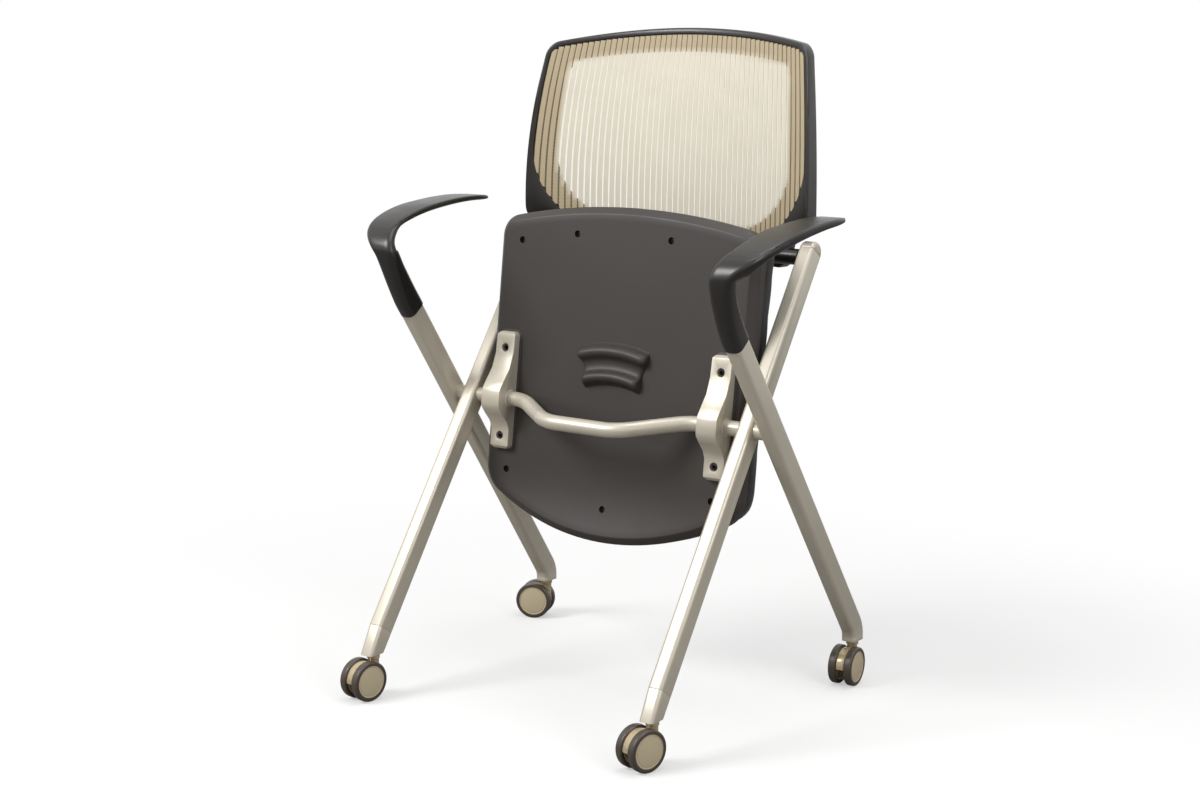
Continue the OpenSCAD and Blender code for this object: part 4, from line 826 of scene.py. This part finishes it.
# %% The hollow of the back
BACK_W, BACK_TOP, RIM_TOP, RIM_BOTTOM, HOLLOW_R = 427, 479, 19, 25, 450
BACK_H = BACK_TOP - PIVOT.z
WIDEST, DEEPEST, FRONT_Y = PIVOT.z + BACK_H * 0.217, PIVOT.z + BACK_H * 0.306, PIVOT.y + 32
SIDE_LEAN, LEAN_OVER = 0.0585, BACK_H * 0.624


def share_up(z):
    """How far up the back a height is: 0 at the pivot and 1 at the top."""
    return min(1, max(0, (z - PIVOT.z) / BACK_H))


def narrowing(z):
    """The share of its width that the back keeps at a height."""
    return 1 - SIDE_LEAN * (max(0, z - WIDEST) / LEAN_OVER) ** 2


def arch(x, z):
    """How far a point comes down from the flat outline, to arch the top."""
    return x * x / (4 * BACK_W) * share_up(z)


def on_back(p, depth):
    """A flat point of the back, put on its hollow, at a depth behind its front."""
    x = p[0] * narrowing(p[1])
    z = p[1] - arch(x, p[1])
    y = FRONT_Y + (z - DEEPEST) ** 2 / (6 * HOLLOW_R) - x * x / (2 * HOLLOW_R)
    return from_cross(x, y + depth, z)


def rim_depth(p):
    """Depth of the ring from front to rear at a flat point."""
    return RIM_BOTTOM + (RIM_TOP - RIM_BOTTOM) * share_up(p[1])


print("back's height", round(BACK_H), "mm, depth at its top", RIM_TOP, "mm and at its bottom", RIM_BOTTOM, "mm")

# %% Outlines of the back
MESH_HALF, MESH_TOP, MESH_LOW, MESH_TOP_R, MESH_LOW_R = BACK_W / 2 - 7, BACK_TOP - 8, PIVOT.z + 1, 14, 135
OPEN_HALF, OPEN_TOP, OPEN_LOW, OPEN_TOP_R, OPEN_LOW_R = MESH_HALF - 29, BACK_TOP - 30.5, PIVOT.z + 26, 18, 100
BACK_BOTTOM, KNUCKLE_TOP, HUB_FACE, BACK_CORNER = PIVOT.z - 16, PIVOT.z + 52, LEG_X - TUBE_W / 2 - 23, 15
LOWER_EDGE = [(1, 1), (0.99, 0.86), (0.93, 0.74), (0.72, 0.66), (0.42, 0.6), (0.12, 0.48), (0, 0.3), (-0.02, 0.12),
              (-0.3, 0)]
TOP_N, CORNER_N, SIDE_N, LOW_N, BOTTOM_N = 16, 8, 20, 32, 12


def top_and_side(half, top, radius, foot):
    """An outline from its top's middle, round the corner and down its right side to a height."""
    line = [(0, top)] + between((0, top), (half - radius, top), TOP_N)
    line += arc(half - radius, top - radius, radius, 0, math.pi / 2, CORNER_N)
    return line + between((half, top - radius), (half, foot), SIDE_N)


def to_middle(line, low):
    """Closes the right half of an outline along its bottom, and adds the left half."""
    return both_halves(line + between(line[-1], (0, low), BOTTOM_N) + [(0, low)])


def flat_outline(half, top, low, top_r, low_r):
    """An outline with round corners."""
    line = top_and_side(half, top, top_r, low + low_r)
    return to_middle(line + arc(half - low_r, low + low_r, low_r, math.pi / 2, math.pi, LOW_N), low)


def outer_outline():
    """The outer edge: it turns in above the tops of the legs and runs down beside the hubs."""
    line = top_and_side(BACK_W / 2, BACK_TOP, BACK_CORNER, KNUCKLE_TOP)
    for k in range(LOW_N + 1):
        across, up = along_table(LOWER_EDGE, k * (len(LOWER_EDGE) - 1) / LOW_N)
        line.append((HUB_FACE + (BACK_W / 2 - HUB_FACE) * across, BACK_BOTTOM + (KNUCKLE_TOP - BACK_BOTTOM) * up))
    return to_middle(line, BACK_BOTTOM)


def step_to(p, q, distance):
    """The point at a distance from p towards q, at most a little short of half way."""
    way = Vector(q) - Vector(p)
    return Vector(p) + way * min(distance / max(way.length, SAME_POINT), 0.45)


outer = outer_outline()
border = flat_outline(MESH_HALF, MESH_TOP, MESH_LOW, MESH_TOP_R, MESH_LOW_R)
opening = flat_outline(OPEN_HALF, OPEN_TOP, OPEN_LOW, OPEN_TOP_R, OPEN_LOW_R)
print("outline points", len(outer), len(border), len(opening))

# %% [markdown]
# A section of the ring has 23 points. Each lies on one of the three outlines, or a short step from it towards another,
# and has its own depth. The short steps at every edge are what makes it round.

# %% The ring
NET_SEAT, FLANGE = 2.2, 5
rings = []
for o, m, i in zip(outer, border, opening):
    rear = rim_depth(o)
    inner_rear = rim_depth(m)
    section = [(o, rear - 1.8), (o, rear / 2), (o, 3.2), (step_to(o, m, 0.4), 1.5), (step_to(o, m, 1.4), 0.4),
               (step_to(o, m, 3.0), 0.0), (step_to(m, o, 1.2), 0.0), (step_to(m, o, 0.3), 0.3), (m, 1.2), (m, NET_SEAT),
               (step_to(i, m, 1.0), NET_SEAT), (step_to(i, m, 0.3), NET_SEAT + 0.3), (i, NET_SEAT + 1.2),
               (i, NET_SEAT + FLANGE - 0.8), (step_to(i, m, 0.8), NET_SEAT + FLANGE),
               (step_to(m, i, 3.0), NET_SEAT + FLANGE), (step_to(m, i, 0.8), NET_SEAT + FLANGE + 0.8),
               (m, NET_SEAT + FLANGE + 3), (m, inner_rear - 1.2), (step_to(m, o, 0.4), inner_rear - 0.3),
               (step_to(m, o, 1.4), inner_rear), (step_to(o, m, 2.2), rear), (step_to(o, m, 0.6), rear - 0.6)]
    rings.append([on_back(p, depth) for p, depth in section])
back_frame = make_piece("back_frame_moulding", *skin(rings, loop=True), sharp=42)
dress(back_frame, "back_frame", ("mesh_edge_strip",))
print("back frame faces", len(back_frame.data.polygons))

# %% [markdown]
# ## Mesh of the backrest
# The mesh is warp bands with gaps between them, held together by fine cross yarns. Every band and every yarn is one
# line on the hollow of the back, swept with a flat profile. That is a rule with few numbers, which suits Geometry
# Nodes: the tree below sweeps any set of lines, and the lines carry an "across" direction so that a band lies flat.

# %% Helpers for Geometry Nodes


def grown(name, guide, tree, values, sharp):
    """Runs a tree on a guide and returns what it makes as a plain mesh. The guide is removed."""
    modifier = guide.modifiers.new(tree.name, "NODES")
    modifier.node_group = tree
    for item in tree.interface.items_tree:
        if item.item_type == "SOCKET" and item.in_out == "INPUT" and item.name in values:
            modifier[item.identifier] = values[item.name]
    mesh = baked(guide)
    bpy.data.objects.remove(guide)
    mesh.name = name
    return show(name, mesh, sharp)


def guide_of(name, lines, label, ways):
    """Open lines of points in millimetres, without faces. Every point carries a direction under the label."""
    points, edges = [], []
    for line in lines:
        edges += [(k, k + 1) for k in range(len(points), len(points) + len(line) - 1)]
        points += [Vector(p) * MM for p in line]
    mesh = bpy.data.meshes.new(name)
    mesh.from_pydata(points, edges, [])
    stored = mesh.attributes.new(label, "FLOAT_VECTOR", "POINT")
    stored.data.foreach_set("vector", [value for way in ways for value in way])
    return in_scene(name, mesh)


# %% The tree that sweeps lines
sweep, enter, leave = node_group("Geometry", "sweep_lines", {
    "Geometry": ("Geometry", None), "Width": ("Float", 0.006), "Thickness": ("Float", 0.001),
    "Material": ("Material", None)}, ("Geometry", "Geometry"))
to_curve = node_at(sweep, "GeometryNodeMeshToCurve")
turned_flat = node_at(sweep, "GeometryNodeSetCurveNormal", mode="FREE")
across = node_at(sweep, "GeometryNodeInputNamedAttribute", {"Name": "across"}, data_type="FLOAT_VECTOR")
profile = node_at(sweep, "GeometryNodeCurvePrimitiveQuadrilateral")
swept = node_at(sweep, "GeometryNodeCurveToMesh", {"Fill Caps": True})
real = node_at(sweep, "GeometryNodeRealizeInstances")
painted = node_at(sweep, "GeometryNodeSetMaterial")
wire(sweep, (enter, "Geometry", to_curve, "Mesh"), (to_curve, "Curve", turned_flat, "Curve"),
     (across, "Attribute", turned_flat, "Normal"), (turned_flat, "Curve", swept, "Curve"),
     (enter, "Width", profile, "Width"), (enter, "Thickness", profile, "Height"),
     (profile, "Curve", swept, "Profile Curve"), (swept, "Mesh", real, "Geometry"),
     (real, "Geometry", painted, "Geometry"), (enter, "Material", painted, "Material"),
     (painted, "Geometry", leave, "Geometry"))
print("tree", sweep.name, len(sweep.nodes))

# %% [markdown]
# The bands run from the bottom of the border to its top, so each one's ends follow the border's rounded corners. The
# cross yarns are far finer, and they stand a tenth of a millimetre proud of the bands, as ribs.

# %% Bands and cross yarns
BAND_PITCH, BAND_GAP, BAND_T, BAND_DEPTH, YARN_PITCH, YARN_W, YARN_PROUD = 8.4, 1.8, 0.8, 1.1, 2.0, 0.5, 0.1
BANDS_EACH_SIDE, BAND_STEPS, YARN_STEPS, NET_IN = 24, 36, 48, 1
NET_HALF, NET_LOW, NET_TOP = MESH_HALF - NET_IN, MESH_LOW + NET_IN, MESH_TOP - NET_IN


def corner_rise(x, radius):
    """How far the net's edge lies from its corner's centre, up or down, at a distance from the middle."""
    return math.sqrt(max(0, radius ** 2 - max(0, abs(x) - NET_HALF + radius) ** 2))


def net_reach(x):
    """Lowest and highest place of the net at a distance from its middle."""
    return NET_LOW + MESH_LOW_R - corner_rise(x, MESH_LOW_R), NET_TOP - MESH_TOP_R + corner_rise(x, MESH_TOP_R)


def net_half_at(z):
    """Half the net's width at a height."""
    half = NET_HALF
    for radius, beyond in ((MESH_LOW_R, NET_LOW + MESH_LOW_R - z), (MESH_TOP_R, z - NET_TOP + MESH_TOP_R)):
        if beyond > 0:
            half = min(half, NET_HALF - radius + math.sqrt(max(0, radius ** 2 - beyond ** 2)))
    return half


def across_back(x):
    """The direction across the back at a place, along its hollow."""
    return Vector((1, -x / HOLLOW_R, 0)).normalized()


bands, yarns = [], []
for k in range(-BANDS_EACH_SIDE, BANDS_EACH_SIDE + 1):
    x = k * BAND_PITCH
    reaches = [net_reach(side) for side in (x, abs(x) - BAND_PITCH / 3)]
    low, high = min(r[0] for r in reaches), max(r[1] for r in reaches)
    bands.append([(x, low), *between((x, low), (x, high), BAND_STEPS - 1), (x, high)])
for k in range(int((MESH_TOP - MESH_LOW - 4) / YARN_PITCH)):
    z = MESH_LOW + 3 + k * YARN_PITCH
    half = net_half_at(z)
    yarns.append([(-half, z), *between((-half, z), (half, z), YARN_STEPS - 1), (half, z)])
joined = bmesh.new()
for name, lines, width, thickness, ways in (
        ("bands", bands, BAND_PITCH - BAND_GAP, BAND_T, [across_back(x) for line in bands for x, z in line]),
        ("yarns", yarns, YARN_W, BAND_T + 2 * YARN_PROUD, [(0, 0, 1) for line in yarns for p in line])):
    guide = guide_of(name, [[on_back(p, BAND_DEPTH) for p in line] for line in lines], "across", ways)
    piece = grown(name, guide, sweep, {"Width": width * MM, "Thickness": thickness * MM,
                                       "Material": finishes["mesh_fabric"]}, 35)
    joined.from_mesh(piece.data)
    print(name, len(lines), "faces", len(piece.data.polygons))
    bpy.data.objects.remove(piece)
net_mesh = mesh_from(joined, "back_net")

# %% [markdown]
# Every point of the net gets a number, over_rim: 0 where it spans the opening and 1 where the black frame is behind
# it. The mesh's finish reads that number to paint shade where the frame is behind the net.

# %% Where the frame lies behind the net


def beyond_opening(x, z):
    """How far a point of the net lies outside the frame's opening, as a share from 0 to 1."""
    flat_x, flat_z = abs(x) / narrowing(z), z + arch(x, z)
    middle, half = (OPEN_TOP + OPEN_LOW) / 2, (OPEN_TOP - OPEN_LOW) / 2
    radius = OPEN_TOP_R if flat_z > middle else OPEN_LOW_R
    a, b = flat_x - OPEN_HALF + radius, abs(flat_z - middle) - half + radius
    outside = math.hypot(max(a, 0), max(b, 0)) + min(max(a, b), 0) - radius
    return min(1, max(0, 0.5 + outside / 2))


over_rim = net_mesh.attributes.new("over_rim", "FLOAT", "POINT")
over_rim.data.foreach_set("value", [beyond_opening(v.co.x / MM, v.co.z / MM - CROSS.z) for v in net_mesh.vertices])
net = dress(show("back_net", net_mesh, 30), "back_mesh")
print("net faces", len(net.data.polygons))

# %% [markdown]
# ## Screws
# One screw head is turned as a profile with a hexagon socket, and a second tree puts it on every point that holds a
# screw. Each point carries the direction that its screw faces. The instances are made real, one mesh for each body.

# %% One screw head


def screw_head(diameter, height, socket):
    """A button head with a hexagon socket, its seat at zero and its axis along Z."""
    r = diameter / 2
    turns = [math.tau * k / 24 for k in range(24)]
    rings = [[(radius * math.cos(turn), radius * math.sin(turn), z) for turn in turns]
             for radius, z in ((r, 0), (r, height * 0.45), (r * 0.93, height * 0.75), (r * 0.78, height * 0.93),
                               (r * 0.6, height))]
    for z in (height, height * 0.35):
        flats = [socket / 2 / math.cos((turn + math.pi / 6) % (math.pi / 3) - math.pi / 6) for turn in turns]
        rings.append([(reach * math.cos(turn), reach * math.sin(turn), z) for reach, turn in zip(flats, turns)])
    return make_piece("head", *skin(rings), sharp=30)


place_tree, enter, leave = node_group("Geometry", "place_screws", {
    "Geometry": ("Geometry", None), "Head": ("Object", None), "Material": ("Material", None)},
    ("Geometry", "Geometry"))
info = node_at(place_tree, "GeometryNodeObjectInfo")
facing = node_at(place_tree, "GeometryNodeInputNamedAttribute", {"Name": "facing"}, data_type="FLOAT_VECTOR")
align = node_at(place_tree, "FunctionNodeAlignRotationToVector", axis="Z")
placed = node_at(place_tree, "GeometryNodeInstanceOnPoints")
real = node_at(place_tree, "GeometryNodeRealizeInstances")
painted = node_at(place_tree, "GeometryNodeSetMaterial")
wire(place_tree, (enter, "Geometry", placed, "Points"), (enter, "Head", info, "Object"),
     (info, "Geometry", placed, "Instance"), (facing, "Attribute", align, "Vector"),
     (align, "Rotation", placed, "Rotation"), (placed, "Instances", real, "Geometry"),
     (real, "Geometry", painted, "Geometry"), (enter, "Material", painted, "Material"),
     (painted, "Geometry", leave, "Geometry"))
print("tree", place_tree.name, len(place_tree.nodes))

# %% Screws on the chair


def screws(name, node, places, way, head_sizes):
    """Puts a screw head on every place, all facing one way. The sizes are its diameter, height and socket."""
    head = screw_head(*head_sizes)
    guide = guide_of(name + "_points", [[place] for place in places], "facing", [way] * len(places))
    piece = grown(name, guide, place_tree, {"Head": head, "Material": finishes[slot_of_node[node]]}, 30)
    bpy.data.objects.remove(head)
    dress(piece, node)
    print(name, len(places), "faces", len(piece.data.polygons))


FRONT_HOLE_IN, REAR_HOLE_IN, HEAD_OVER_PAD, SLEEVE_HOLE_UP = 21, 17, 3.5, 11
screws("shell_screws", "pan_screws", [in_seat(x, y, FACE - WELL_DEPTH) for x, y in PAN_SCREWS], seat_out, (7, 2, 3))
bracket_holes = [in_seat(sign * BRACKET_X, y, FACE + PAD_T + HEAD_OVER_PAD) for sign in SIDES.values()
                 for y in (BRACKET_FRONT - FRONT_HOLE_IN, REAR_HOLE_IN - BRACKET_REAR)]
screws("bracket_socket_screws", "bracket_screws", bracket_holes, seat_out, (8.4, 5, 4.5))
arm_way = Vector((0, -math.sin(ARM_LEAN), math.cos(ARM_LEAN)))
arm_rear = Vector((0, math.cos(ARM_LEAN), math.sin(ARM_LEAN)))
sleeve_hole = arm_way * (SLEEVE_FROM + SLEEVE_HOLE_UP) + arm_rear * SLEEVE_DEPTH / 2
sleeve_holes = [from_cross(sign * ARM_X, *sleeve_hole.yz) for sign in SIDES.values()]
screws("armrest_screws", "arm_screws", sleeve_holes, arm_rear, (7, 2, 3))

# %% [markdown]
# ## Floor finish
# To the camera the floor is pale near the chair, where it keeps the chair's shadow, and turns to the backdrop's white
# a little further out. To the light that bounces up to the chair it is a plain grey.

# %% Floor finish
FLOOR_WHITE, WHITE_FROM, WHITE_AT = 0.45, 0.45, 1.25
floor_finish = bpy.data.materials.new("pale_floor")
floor_finish.use_nodes = True
ground = floor_finish.node_tree
ground_out = ground.nodes["Material Output"]
pale = ground.nodes["Principled BSDF"]
pale.inputs["Base Color"].default_value = (0.86, 0.855, 0.85, 1)
pale.inputs["Roughness"].default_value = 0.85
plain = node_at(ground, "ShaderNodeBsdfDiffuse", {"Color": (0.3, 0.29, 0.28, 1)})
glow = node_at(ground, "ShaderNodeEmission", {"Color": (1, 1, 1, 1), "Strength": 1.0})
place = node_at(ground, "ShaderNodeTexCoord")
away = node_at(ground, "ShaderNodeVectorMath", operation="LENGTH")
whitening = {"From Min": WHITE_FROM, "From Max": WHITE_AT, "To Min": FLOOR_WHITE, "To Max": 1.0}
fade = node_at(ground, "ShaderNodeMapRange", whitening, interpolation_type="SMOOTHSTEP")
shown = node_at(ground, "ShaderNodeMixShader")
ray = node_at(ground, "ShaderNodeLightPath")
looked_at = node_at(ground, "ShaderNodeMath", operation="MAXIMUM")
by_ray = node_at(ground, "ShaderNodeMixShader")
wire(ground, (place, "Object", away, 0), (away, "Value", fade, "Value"), (fade, "Result", shown, 0),
     (pale, 0, shown, 1), (glow, 0, shown, 2), (ray, "Is Camera Ray", looked_at, 0),
     (ray, "Is Transmission Ray", looked_at, 1), (looked_at, 0, by_ray, 0), (plain, 0, by_ray, 1),
     (shown, 0, by_ray, 2), (by_ray, 0, ground_out, "Surface"))
floor.data.materials.append(floor_finish)
print("floor finish", len(ground.nodes))
